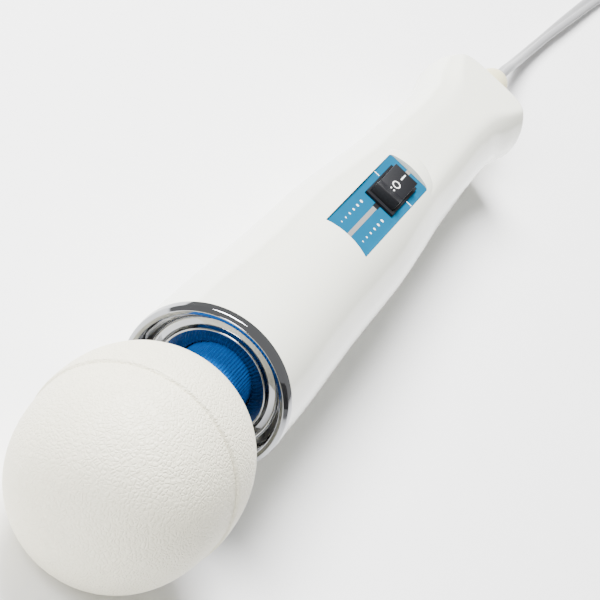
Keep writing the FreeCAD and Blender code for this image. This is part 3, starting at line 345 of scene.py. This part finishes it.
def lathe(outline, segments=160, closed=False, wave=None):
    """Revolves (radius, along) points about the wand's axis. wave(angle, along) adds to radii."""
    shape = bmesh.new()
    rings = []
    for radius, along in outline:
        if radius < 1e-4:
            rings.append([shape.verts.new((0, along, 0))] * segments)
            continue
        ring = []
        for count in range(segments):
            angle = 2 * math.pi * count / segments
            reach = radius + (wave(angle, along) if wave else 0.0)
            ring.append(shape.verts.new((reach * math.cos(angle), along,
                                         reach * math.sin(angle))))
        rings.append(ring)
    pairs = list(zip(rings, rings[1:])) + ([(rings[-1], rings[0])] if closed else [])
    for low, high in pairs:
        for count in range(segments):
            after = (count + 1) % segments
            corners = [low[count], low[after], high[after], high[count]]
            distinct = list(dict.fromkeys(corners))
            if len(distinct) > 2:
                shape.faces.new(distinct)
    return shape


def prism(outline, low, high):
    """A straight solid between two heights over an outline of (x, y) points."""
    shape = bmesh.new()
    floor = [shape.verts.new((x, y, low)) for x, y in outline]
    top = [shape.verts.new((x, y, high)) for x, y in outline]
    shape.faces.new(floor)
    shape.faces.new(top)
    for count in range(len(outline)):
        after = (count + 1) % len(outline)
        shape.faces.new([floor[count], floor[after], top[after], top[count]])
    return shape


def rounded_box(low_x, high_x, low_y, high_y, radii, steps=5):
    """Outline of a rectangle. radii are those of its corners, anticlockwise from (low, low)."""
    corners = [(low_x, low_y), (high_x, low_y), (high_x, high_y), (low_x, high_y)]
    outline = []
    for (x, y), radius, start in zip(corners, radii, (180, 270, 0, 90)):
        centre_x = x + (radius if x == low_x else -radius)
        centre_y = y + (radius if y == low_y else -radius)
        for step in range(steps + 1):
            angle = math.radians(start + 90 * step / steps)
            outline.append((centre_x + radius * math.cos(angle),
                            centre_y + radius * math.sin(angle)))
    return outline


def soften(shape, width, angle=30.0, steps=3):
    """Bevels the edges that turn by more than an angle."""
    bmesh.ops.recalc_face_normals(shape, faces=shape.faces)
    edges = [edge for edge in shape.edges
             if len(edge.link_faces) == 2 and edge.calc_face_angle() > math.radians(angle)]
    bmesh.ops.bevel(shape, geom=edges, offset=width, segments=steps, profile=0.5,
                    affect="EDGES", clamp_overlap=True)
    return shape


def carve(target, cutters, operation="DIFFERENCE"):
    """Applies booleans to a piece with cutter shapes given in (shape, frame) pairs."""
    for shape, place in cutters:
        bmesh.ops.recalc_face_normals(shape, faces=shape.faces)
        mesh = bpy.data.meshes.new("Cutter")
        shape.to_mesh(mesh)
        shape.free()
        mesh.transform(place)
        tool = bpy.data.objects.new("Cutter", mesh)
        bpy.context.scene.collection.objects.link(tool)
        step = target.modifiers.new("Carve", "BOOLEAN")
        step.operation = operation
        step.solver = "EXACT"
        step.object = tool
        graph = bpy.context.evaluated_depsgraph_get()
        result = bpy.data.meshes.new_from_object(target.evaluated_get(graph), depsgraph=graph)
        target.modifiers.clear()
        target.data = result
        bpy.data.objects.remove(tool)
    target.data.polygons.foreach_set("use_smooth", [True] * len(target.data.polygons))
    target.data.set_sharp_from_angle(angle=math.radians(32.0))


def merge(target, extra):
    """Adds one bmesh to another."""
    mesh = bpy.data.meshes.new("Part")
    extra.to_mesh(mesh)
    extra.free()
    target.from_mesh(mesh)
    bpy.data.meshes.remove(mesh)


def drum(radius, low, high, x, y, segments=40):
    """An upright cylinder, for cutters and bosses."""
    ring = [(x + radius * math.cos(2 * math.pi * count / segments),
             y + radius * math.sin(2 * math.pi * count / segments)) for count in range(segments)]
    return prism(ring, low, high)


# ---------------------------------------------------------------- mains lead

CORD_WIDTH, CORD_THICK = 0.0056, 0.0029
LOBE = CORD_THICK / 2
EDGE_HEIGHT, FLAT_HEIGHT = 0.0029, 0.0016     # centre above the surface, on its edge and flat
LEAD_ROUTE = [                                # the same points as the CAD lead, set down to rest
    (0.0, 0.1758, 0.0195), (0.0, 0.1888, 0.0190), (0.0006, 0.2098, 0.0105),
    (0.0014, 0.2358, 0.0036), (0.0028, 0.2618, EDGE_HEIGHT), (0.0046, 0.2878, EDGE_HEIGHT),
    (0.0064, 0.3128, 0.0022), (0.0084, 0.3283, FLAT_HEIGHT)]
COIL_CENTRE = Vector((0.044, 0.347, 0.0))
COIL_COLUMNS = (0.0236, 0.02935, 0.0351)      # radii of the turns, a cord's width apart
LAYER_RISE = CORD_THICK + 0.0001
TURN_PLACES = [(2, 0), (1, 0), (0, 0), (0, 1), (1, 1), (2, 1), (0, 2), (1, 2), (2, 2)]
COIL_ENTER, COIL_LEAVE = math.radians(190.0), math.radians(-9.0)
CROSSING_TURN = 5                             # climbs early, to cross over the turns inside it
RIDES, RIDE_REACH = (6.805, 7.695), 0.14      # where later turns ride over that crossing, in turns
POINTS_PER_TURN = 24
LOBE_ARC = 146                                # degrees of a lobe each way from its outer side
LEAD_ROLL = math.radians(62.0)                # how far the lead stands on its edge at the relief
ROLL_KEPT, ROLL_LOST = 0.085, 0.07            # it keeps that for one length, then rolls flat
TIE_BESIDE, TIE_ABOVE = 0.0036, 0.0024        # from the outer turns' centres to the tie
TIE_HALF, TIE_WIRE = 0.0016, 0.0006
TIE_PLACE = math.radians(65.0)
TAIL_ROUTE = [(0.0766, 0.3231, 0.0079), (0.0754, 0.3155, 0.0079), (0.0754, 0.3085, 0.0079)]


def coil_points():
    """Turns wound clockwise in (column, layer) places. Each moves to the next place in its second
    half, and two of them ride over the turn that crosses the pile."""
    sweep = (COIL_ENTER - COIL_LEAVE) / (2 * math.pi) + len(TURN_PLACES) - 1
    count = round(POINTS_PER_TURN * sweep)
    points = []
    for step in range(count + 1):
        turned = sweep * step / count
        turn = min(int(turned), len(TURN_PLACES) - 1)
        column, layer = TURN_PLACES[turn]
        next_column, next_layer = TURN_PLACES[min(turn + 1, len(TURN_PLACES) - 1)]
        share = blend_step((turned - turn - 0.5) / 0.5)
        climb = blend_step((turned - turn - 0.55) / 0.15) if turn == CROSSING_TURN else share
        ride = sum(0.5 + 0.5 * math.cos(math.pi * min(abs(turned - place) / RIDE_REACH, 1.0))
                   for place in RIDES)
        radius = COIL_COLUMNS[column] * (1 - share) + COIL_COLUMNS[next_column] * share
        height = FLAT_HEIGHT + LAYER_RISE * (layer + (next_layer - layer) * climb + ride)
        angle = COIL_ENTER - 2 * math.pi * turned
        points.append(COIL_CENTRE + Vector((radius * math.cos(angle), radius * math.sin(angle),
                                            height)))
    return points


def lead_line():
    """The points of the lead's smooth line, read from its NURBS spline."""
    control = [Vector(point) for point in LEAD_ROUTE] + coil_points()
    control += [Vector(point) for point in TAIL_ROUTE]
    data = bpy.data.curves.new("LeadLine", "CURVE")
    data.dimensions = "3D"
    data.resolution_u = 6
    spline = data.splines.new("NURBS")
    spline.points.add(len(control) - 1)
    for point, place in zip(spline.points, control):
        point.co = (*place, 1.0)
    spline.order_u = 3
    spline.use_endpoint_u = True
    holder = bpy.data.objects.new("LeadLine", data)
    bpy.context.scene.collection.objects.link(holder)
    bpy.context.view_layer.update()
    mesh = bpy.data.meshes.new_from_object(holder)
    line = [vertex.co.copy() for vertex in mesh.vertices]
    bpy.data.objects.remove(holder)
    return line


def twin_section(steps=13):
    """Outline of the flat twin: two round lobes with a fine valley between them."""
    offset = CORD_WIDTH / 2 - LOBE
    points = []
    for side in (1, -1):
        for step in range(steps):
            angle = math.radians(-LOBE_ARC + 2 * LOBE_ARC * step / (steps - 1))
            angle += 0 if side > 0 else math.pi
            points.append((side * offset + LOBE * math.cos(angle), LOBE * math.sin(angle)))
    return points


def mains_lead():
    """The flat twin, on its edge out of the relief and rolled flat by the coil, with its tie and
    plug."""
    line = lead_line()
    shape = bmesh.new()
    section = twin_section()
    travelled = 0.0
    rings = []
    for index, place in enumerate(line):
        before = line[max(index - 1, 0)]
        after = line[min(index + 1, len(line) - 1)]
        travelled += (place - before).length
        heading = (after - before).normalized()
        side = heading.cross(Vector((0, 0, 1))).normalized()
        over = side.cross(heading)
        roll = LEAD_ROLL * max(0.0, 1.0 - max(0.0, travelled - ROLL_KEPT) / ROLL_LOST)
        across = side * math.cos(roll) + over * math.sin(roll)
        upright = over * math.cos(roll) - side * math.sin(roll)
        rings.append([shape.verts.new(place + across * x + upright * y) for x, y in section])
    for low, high in zip(rings, rings[1:]):
        for count in range(len(section)):
            after = (count + 1) % len(section)
            shape.faces.new([low[count], low[after], high[after], high[count]])
    shape.faces.new(rings[0])
    shape.faces.new(rings[-1])
    lead = piece("mains_lead", shape, "handle", "cord_white",
                 ("power_cord", "cord_coil", "cord_end"), place=ROW, sharp=60.0)
    tie = coil_tie()
    body = plug()


def coil_tie():
    """A twisted wire tie round the bundle of turns."""
    inner, outer = COIL_COLUMNS[0] - TIE_BESIDE, COIL_COLUMNS[-1] + TIE_BESIDE
    top = FLAT_HEIGHT + 2 * CORD_THICK + TIE_ABOVE
    loop = rounded_box(inner, outer, 0.0001, top, (0.0012,) * 4, 4)
    shape = bmesh.new()
    centre_x, centre_z = (inner + outer) / 2, top / 2
    rings = []
    for y in (-TIE_HALF, TIE_HALF):
        for grow in (0.0, TIE_WIRE):
            rings.append([shape.verts.new((x + grow * (1 if x > centre_x else -1), y,
                                           z + grow * (1 if z > centre_z else 0)))
                          for x, z in loop])
    for a, b in ((0, 1), (1, 3), (3, 2), (2, 0)):
        for count in range(len(loop)):
            after = (count + 1) % len(loop)
            shape.faces.new([rings[a][count], rings[a][after], rings[b][after], rings[b][count]])
    turn = Matrix.Translation(COIL_CENTRE) @ Matrix.Rotation(TIE_PLACE, 4, "Z")
    return piece("coil_tie", shape, "handle", "rubber", place=turn)


PLUG_STATIONS, PLUG_SIDES = 30, 48
PLUG_SQUARENESS = 0.45                        # exponent of its section: 1 is an ellipse
TAPER_START, TAPER_SHARE = 0.45, 0.62
GRIP_END, GRIP_COUNT, GRIP_DEPTH = 0.95, 9, 0.00035


def plug():
    """Moulded plug with a waisted back, finger grips and a tapered end for the lead."""
    low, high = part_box("plug_body")
    middle = (low + high) / 2
    half_x, half_z = (high.x - low.x) / 2, (high.z - low.z) / 2
    length = high.y - low.y
    shape = bmesh.new()
    rings = []
    for step in range(PLUG_STATIONS + 1):
        t = step / PLUG_STATIONS
        taper = 1.0 - TAPER_SHARE * (max(t - TAPER_START, 0.0) / (1 - TAPER_START)) ** 1.4
        gripped = TAPER_START < t < GRIP_END
        grip = GRIP_DEPTH * math.sin(t * 2 * math.pi * GRIP_COUNT) if gripped else 0.0
        edge = 0.94 if step in (0, PLUG_STATIONS) else 1.0
        ring = []
        for count in range(PLUG_SIDES):
            angle = 2 * math.pi * count / PLUG_SIDES
            cos, sin = math.cos(angle), math.sin(angle)
            x = math.copysign(abs(cos) ** PLUG_SQUARENESS, cos) * (half_x * taper * edge + grip)
            z = math.copysign(abs(sin) ** PLUG_SQUARENESS, sin)
            z *= half_z * (0.35 + 0.65 * taper) * edge
            ring.append(shape.verts.new((middle.x + x, low.y + length * t, middle.z + z)))
        rings.append(ring)
    for lower, upper in zip(rings, rings[1:]):
        for count in range(PLUG_SIDES):
            after = (count + 1) % PLUG_SIDES
            shape.faces.new([lower[count], lower[after], upper[after], upper[count]])
    shape.faces.new(rings[0])
    shape.faces.new(rings[-1])
    return piece("plug_shell", shape, "handle", "cord_white", ("plug_body",), place=ROW)


# ---------------------------------------------------------------- head and neck

HEAD_MIDDLE, HEAD_RADIUS = 37.0, 31.75
HEAD_FRONT, HEAD_REAR = 37.0, 35.0        # from the middle to the nose and to the rear
HEAD_ROUNDNESS = 2.43                     # exponent of the head's outline
STEP_PLACE, STEP_DEPTH = 36.0, 0.75
HEAD_OPENING, HEAD_LIP = 13.0, 0.6
DOME_STATIONS, REAR_PITCH = 70, 0.25


def head_reach(along):
    """Radius of the head's skin at a place, before the step."""
    half = HEAD_FRONT if along < HEAD_MIDDLE else HEAD_REAR
    share = min(abs(along - HEAD_MIDDLE) / half, 1.0)
    return HEAD_RADIUS * (1 - share ** HEAD_ROUNDNESS) ** (1 / HEAD_ROUNDNESS)


def head_cover():
    """Soft vinyl cover: a dome and, behind a fine step, a slightly larger rear band."""
    outline = [Vector((0.0, 0.0))]
    for step in range(1, DOME_STATIONS):
        along = STEP_PLACE * (1 - math.cos(math.pi / 2 * step / DOME_STATIONS))
        outline.append(Vector((head_reach(along) * (1 - STEP_DEPTH / HEAD_RADIUS), along)))
    flat = HEAD_RADIUS - STEP_DEPTH
    outline += [Vector(point) for point in (
        (flat, STEP_PLACE - 0.3), (flat - 0.22, STEP_PLACE), (flat - 0.1, STEP_PLACE + 0.2),
        (HEAD_RADIUS - 0.22, STEP_PLACE + 0.45), (HEAD_RADIUS - 0.05, STEP_PLACE + 0.9),
        (HEAD_RADIUS, STEP_PLACE + 1.5))]
    for step in range(1, 200):
        along = HEAD_MIDDLE + 0.6 + REAR_PITCH * step
        radius = head_reach(along)
        if radius < HEAD_OPENING + HEAD_LIP:
            break
        outline.append(Vector((radius, along)))
    last = outline[-1].y
    outline += [Vector(point) for point in (
        (HEAD_OPENING + 0.25, last + 0.12), (HEAD_OPENING, last - 0.15),
        (HEAD_OPENING, last - 3.2))]
    piece("head_skin", lathe(outline, 224), "head", "head_vinyl", ("head_cover",), sharp=50.0)


NECK_RIBS = 72
NECK_BACK, NECK_FRONT = 95.5, 62.0
NECK_RADIUS, NECK_ROWS = 11.35, 24
RIB_HEIGHT = 0.34


def rib(angle, along):
    """How far the ribbed skin lies out from the neck's radius. The ribs run straight along it."""
    crest = 0.5 + 0.5 * math.cos(angle * NECK_RIBS)
    return RIB_HEIGHT * crest ** 0.7 - RIB_HEIGHT / 2


def neck():
    """Ribbed rubber neck in two lengths that meet at the pivot."""
    for name, low, high, bodies, ends, stands in (
            ("neck_rear", NECK_PIVOT, NECK_BACK, ("handle", "neck"), (2, 1), ("flexible_neck",)),
            ("neck_front", NECK_FRONT, NECK_PIVOT, ("neck", "head"), (1, 0), ())):
        skin = [(NECK_RADIUS, low + (high - low) * row / NECK_ROWS)
                for row in range(NECK_ROWS + 1)]
        shape = lathe(skin, NECK_RIBS * 6, wave=rib)
        part = piece(name, shape, None, "neck_blue", stands, sharp=80.0)
        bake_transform(part)


# ---------------------------------------------------------------- collar


def collar():
    """Chromed ring: outer band, rolled lip, deep flank, floor and a raised ring at the neck."""
    outline = rounded([
        (12.0, 95.2, 0.0), (12.0, 92.4, 0.6), (13.5, 91.5, 0.7), (14.5, 90.7, 0.5),
        (17.0, 89.5, 0.6), (17.9, 91.0, 0.5), (20.3, 91.7, 1.0), (22.6, 86.6, 0.7),
        (23.3, 85.3, 0.5), (24.6, 84.9, 0.45), (25.7, 86.1, 0.9), (25.95, 88.55, 0.25),
        (25.2, 88.75, 0.2), (22.7, 88.9, 0.0), (22.7, 94.0, 0.0)], 6)
    piece("collar_ring", lathe(outline, 224), "handle", "chrome", ("chrome_collar",), sharp=42.0)


# ---------------------------------------------------------------- casing

SKIN_KNOTS = [(25.7, 88.8), (25.5, 110.0), (24.6, 131.5), (23.7, 153.0), (23.2, 174.0),
              (22.7, 196.0), (21.4, 217.0), (19.7, 239.0), (18.7, 260.0), (17.85, 281.0),
              (17.7, 291.0), (18.05, 303.0), (20.1, 316.0)]
WALL, END_WALL, TAIL_END = 2.8, 3.0, 324.0
RIM_RADIUS, RIM_INSET = 4.0, 16.8          # of the tail's rim, and its centre from the axis
RIM_START, RIM_STEPS = -14, 14             # degrees, where the skin runs into the rim
END_FACE_PITCH = 3.5
LEAD_HOLE, TAIL_CAVITY = 5.5, 11.5
CAVITY_END = 296.0                         # behind it the inside narrows to the tail's cavity
FLAT_PLACE, FLAT_HEIGHT_MM = 233.0, 18.2   # where the grip's flat starts, and its height there
FLAT_TILT = math.radians(2.0)
FLAT_SOFTNESS, FLAT_WALL = 1.1, 2.4
ARCH_REACH, ARCH_DEPTH, ARCH_EDGE, ARCH_SHIFT = 9.5, 8.5, 2.4, 0.4
ARCH_FINE = (220, 242)                     # stretch that needs closer rings
ABOVE_SKIN = 40.0                          # any height above the skin
PANEL_FRONT, PANEL_REAR, PANEL_HALF = -43.0, 19.0, 8.3    # about the rocker
PANEL_CORNERS = (0.3, 0.3, 1.3, 1.3)
LABEL_THICK, DECK_THICK = 0.8, 2.4
DECK_START, DECK_END = 160.0, 229.0        # of the thicker wall under the label
ROCKER_PLACE = 206.0
OPENING_HALF, OPENING_REACH = 5.4, 11.3    # of the rocker's opening, across and along
OPENING_CORNERS = (0.4,) * 4
SEAM, SEAM_WIDTH, SEAM_GAP = 0.14, 0.5, 0.03
SCREWS = ((13.4, 183.0, -14.4), (9.4, 262.0, -12.0))    # across, along, low end of the boss
BOSS_RADIUS, WELL_RADIUS, SCREW_SEAT = 4.3, 3.1, -9.5


def lower_of(a, b, softness):
    """The smaller of two heights, with the corner between them rounded."""
    mix = min(max(0.5 + 0.5 * (b - a) / softness, 0.0), 1.0)
    return b * (1 - mix) + a * mix - softness * mix * (1 - mix)


def grip_flat(across, along, height):
    """Lowers the skin to the grip's flat behind the arch that backs the label."""
    reach = min(abs(across) / ARCH_REACH, 1.4)
    start = FLAT_PLACE + ARCH_SHIFT - ARCH_DEPTH * (1 - math.sqrt(max(1 - reach * reach, 0.0)))
    level = FLAT_HEIGHT_MM - (along - FLAT_PLACE) * math.tan(FLAT_TILT)
    share = blend_step((along - start) / ARCH_EDGE)
    return height + (lower_of(height, level, FLAT_SOFTNESS) - height) * share


def skin_profile():
    """(radius, along) of the skin from the collar to the hole for the lead."""
    skin = through(SKIN_KNOTS, 10)
    dense = []
    for low, high in zip(skin, skin[1:]):
        steps = 5 if ARCH_FINE[0] < low.y < ARCH_FINE[1] else 1
        dense += [low.lerp(high, step / steps) for step in range(steps)]
    dense.append(skin[-1])
    for step in range(RIM_STEPS + 1):
        angle = math.radians(RIM_START + (90 - RIM_START) * step / RIM_STEPS)
        dense.append(Vector((RIM_INSET + RIM_RADIUS * math.cos(angle),
                             TAIL_END - RIM_RADIUS + RIM_RADIUS * math.sin(angle))))
    dense += [Vector((RIM_INSET - END_FACE_PITCH * step, TAIL_END)) for step in (1, 2, 3)]
    return dense + [Vector((LEAD_HOLE, TAIL_END))]


def inner_point(outer):
    """The inside of the wall that faces a skin point."""
    along = min(outer.y, TAIL_END - END_WALL)
    if outer.y < CAVITY_END:
        return Vector((outer.x - WALL, along))
    return Vector((max(min(TAIL_CAVITY, outer.x - WALL), LEAD_HOLE), along))


def shell(name, start_angle, shift, stands):
    """One half of the casing as a closed solid between two seam angles."""
    steps = 160
    shape = bmesh.new()
    rings = []
    for outer in skin_profile():
        inner = inner_point(outer)
        ring = []
        for step in range(steps + 1):
            part = step / steps
            angle = start_angle + math.pi * part
            to_seam = min(part, 1 - part) * math.pi * outer.x
            groove = SEAM * (1 - blend_step(to_seam / SEAM_WIDTH))
            radius = outer.x - groove
            x, z = radius * math.cos(angle), radius * math.sin(angle)
            if z > 0:
                z = grip_flat(x, outer.y, z)
            if step in (0, steps):
                z += shift
            ring.append(shape.verts.new((x, outer.y, z)))
        for step in range(steps, -1, -1):
            angle = start_angle + math.pi * step / steps
            x, z = inner.x * math.cos(angle), inner.x * math.sin(angle)
            if z > 0 and DECK_START < outer.y < DECK_END:
                deck = Vector((0, outer.y - ROCKER_PLACE, -LABEL_THICK - DECK_THICK))
                z = min(z, (PANEL_IN_WAND @ deck).z)
            elif z > 0:
                z = min(z, grip_flat(x, outer.y, ABOVE_SKIN) - FLAT_WALL)
            if step in (0, steps):
                z += shift
            ring.append(shape.verts.new((x, inner.y, z)))
        rings.append(ring)
    count = len(rings[0])
    for low, high in zip(rings, rings[1:]):
        for index in range(count):
            after = (index + 1) % count
            shape.faces.new([low[index], low[after], high[after], high[index]])
    for ring in (rings[0], rings[-1]):
        for step in range(steps):
            shape.faces.new([ring[step], ring[step + 1], ring[count - 2 - step],
                             ring[count - 1 - step]])
    return piece(name, shape, "handle", "casing_white", stands)


def rocker_opening():
    """Outline of the hole for the rocker, in the panel's frame."""
    return rounded_box(-OPENING_HALF, OPENING_HALF, -OPENING_REACH, OPENING_REACH,
                       OPENING_CORNERS)


def casing():
    """Two glossy shells: the upper one has the label's recess, the lower one the screw wells."""
    upper = shell("casing_upper", 0.0, SEAM_GAP, ("upper_shell",))
    outline = rounded_box(-PANEL_HALF, PANEL_HALF, PANEL_FRONT, PANEL_REAR, PANEL_CORNERS)
    opening = rocker_opening()
    carve(upper, [(prism(outline, -LABEL_THICK, 12.0), PANEL), (prism(opening, -9.0, 2.0), PANEL)])
    lower = shell("casing_lower", math.pi, -SEAM_GAP, ("lower_shell",))
    places = [(side * across, along, end) for across, along, end in SCREWS for side in (-1, 1)]
    carve(lower, [(drum(BOSS_RADIUS, end, -0.2, across, along), WAND)
                  for across, along, end in places], "UNION")
    carve(lower, [(drum(WELL_RADIUS, -30.0, SCREW_SEAT, across, along), WAND)
                  for across, along, end in places])


# ---------------------------------------------------------------- label and switch


PLATE_HALF, PLATE_CORNERS = 8.2, (0.2, 0.2, 1.25, 1.25)
LABEL_FILM, ROCKER_FILM = 0.04, 0.09       # height of the printing
STRIPE_HALF, INDEX_HALF = 0.75, 1.0
INDEX_FRONT, INDEX_REAR = -15.0, -12.3     # of the dark block in front of the rocker
PRINT_CORNERS = (0.05,) * 4
LEVEL_DOTS, DOT_ACROSS, DOT_FRONT, DOT_PITCH = 6, 4.4, -36.0, 3.6


def label():
    """Printed plate with a centre stripe, a dark index block, side ticks and plain level dots."""
    plate = rounded_box(-PLATE_HALF, PLATE_HALF, PANEL_FRONT + 0.1, PANEL_REAR - 0.1,
                        PLATE_CORNERS)
    hole = rocker_opening()
    thing = piece("label_print", prism(plate, -LABEL_THICK + 0.02, 0.0), "handle", "label_blue",
                  ("label_plate",), place=PANEL)
    carve(thing, [(prism(hole, -3.0, 3.0), PANEL)])
    stripes = bmesh.new()
    for low, high in ((PANEL_FRONT + 0.15, INDEX_FRONT), (-INDEX_REAR, PANEL_REAR - 0.15)):
        merge(stripes, prism(rounded_box(-STRIPE_HALF, STRIPE_HALF, low, high, PRINT_CORNERS, 1),
                             0.0, LABEL_FILM))
    piece("label_stripe", stripes, "handle", "label_blue", material=STRIPE, place=PANEL)
    block = prism(rounded_box(-INDEX_HALF, INDEX_HALF, INDEX_FRONT, INDEX_REAR, PRINT_CORNERS, 1),
                  0.0, LABEL_FILM * 1.5)
    piece("label_index", block, "handle", "switch_black", place=PANEL)
    marks = bmesh.new()
    for side in (-1, 1):
        low, high = sorted((side * 5.9, side * 8.0))
        merge(marks, prism(rounded_box(low, high, 2.3, 2.75, PRINT_CORNERS, 1), 0.0, LABEL_FILM))
        for count in range(LEVEL_DOTS):
            size = 0.28 + 0.06 * count
            along = DOT_FRONT + DOT_PITCH * count
            dot = [(side * DOT_ACROSS + size * math.cos(math.pi * turn / 10),
                    along + size * math.sin(math.pi * turn / 10)) for turn in range(20)]
            merge(marks, prism(dot, 0.0, LABEL_FILM))
    piece("label_marks", marks, "handle", "label_blue", material=MARK, place=PANEL)


ROCKER_HALF, ROCKER_WIDE = 10.0, 4.7       # half its length and half its width
FACET_REACH = ROCKER_HALF - 0.9            # from the middle to the facets' raised ends
SHOULDER_HEIGHT, BELLY_HEIGHT, BELLY_REACH = -0.5, -5.1, 4.0
MARK_CORNERS = (0.1,) * 4
RING_PLACE, RING_SIDES = 3.3, 28           # of the ring printed on the tail facet
RING_OUTER, RING_INNER = (1.45, 1.4), (1.1, 1.05)   # half widths across and along
CREASE_HEIGHT, END_HEIGHT = 1.5, 4.1
CREASE_PLACE = -1.5                        # in front of the rocker's middle


def facet_matrix():
    """Frame of the rocker's tail facet: Y up the facet from the crease, Z out of it."""
    rise = math.atan2(END_HEIGHT - CREASE_HEIGHT, FACET_REACH - CREASE_PLACE)
    lift = Matrix.Translation(Vector((0, CREASE_PLACE, CREASE_HEIGHT)))
    return PANEL @ lift @ Matrix.Rotation(rise, 4, "X")


def rocker():
    """Two finger facets that meet in a crease, with printed marks on the tail facet."""
    side_view = [(-FACET_REACH, END_HEIGHT), (CREASE_PLACE, CREASE_HEIGHT),
                 (FACET_REACH, END_HEIGHT), (ROCKER_HALF, SHOULDER_HEIGHT),
                 (BELLY_REACH, BELLY_HEIGHT), (-BELLY_REACH, BELLY_HEIGHT),
                 (-ROCKER_HALF, SHOULDER_HEIGHT)]
    shape = bmesh.new()
    sides = [[shape.verts.new((x, y, z)) for y, z in side_view]
             for x in (-ROCKER_WIDE, ROCKER_WIDE)]
    for side in sides:
        shape.faces.new(side)
    for index in range(len(side_view)):
        after = (index + 1) % len(side_view)
        shape.faces.new([sides[0][index], sides[0][after], sides[1][after], sides[1][index]])
    soften(shape, 0.28, 25.0)
    piece("rocker_cap", shape, "rocker", "switch_black", ("rocker",), place=PANEL)
    marks = bmesh.new()
    merge(marks, prism(rounded_box(-0.24, 0.24, 6.5, 9.5, MARK_CORNERS, 2), 0.0, ROCKER_FILM))
    for count in range(RING_SIDES):
        outer, inner = [[(half[0] * math.cos(angle), RING_PLACE + half[1] * math.sin(angle))
                         for angle in (2 * math.pi * (count + end) / RING_SIDES
                                       for end in (0, 1))]
                        for half in (RING_OUTER, RING_INNER)]
        merge(marks, prism([outer[0], outer[1], inner[1], inner[0]], 0.0, ROCKER_FILM))
    for side in (-1, 1):
        low, high = sorted((side * 0.4, side * 0.85))
        merge(marks, prism(rounded_box(low, high, 0.3, 0.95, MARK_CORNERS, 2), 0.0, ROCKER_FILM))
    piece("rocker_marks", marks, "rocker", "switch_black", material=MARK, place=facet_matrix())


# ---------------------------------------------------------------- strain relief


def relief():
    """Cream moulding: a rounded sleeve on the tail that tapers round the lead."""
    outline = rounded([
        (3.2, 351.8, 0.0), (5.2, 351.4, 1.2), (6.5, 346.5, 2.0), (7.3, 338.0, 3.0),
        (7.6, 331.0, 3.0), (7.6, 326.0, 1.4), (7.4, 324.1, 0.3), (5.3, 323.9, 0.0),
        (5.3, 320.0, 0.0)], 6)
    piece("lead_relief", lathe(outline, 96), "handle", "relief_cream", ("strain_relief",))


# ---------------------------------------------------------------- making

camera()
studio()
dress_cad_nodes()
mains_lead()
head_cover()
neck()
collar()
casing()
label()
rocker()
relief()
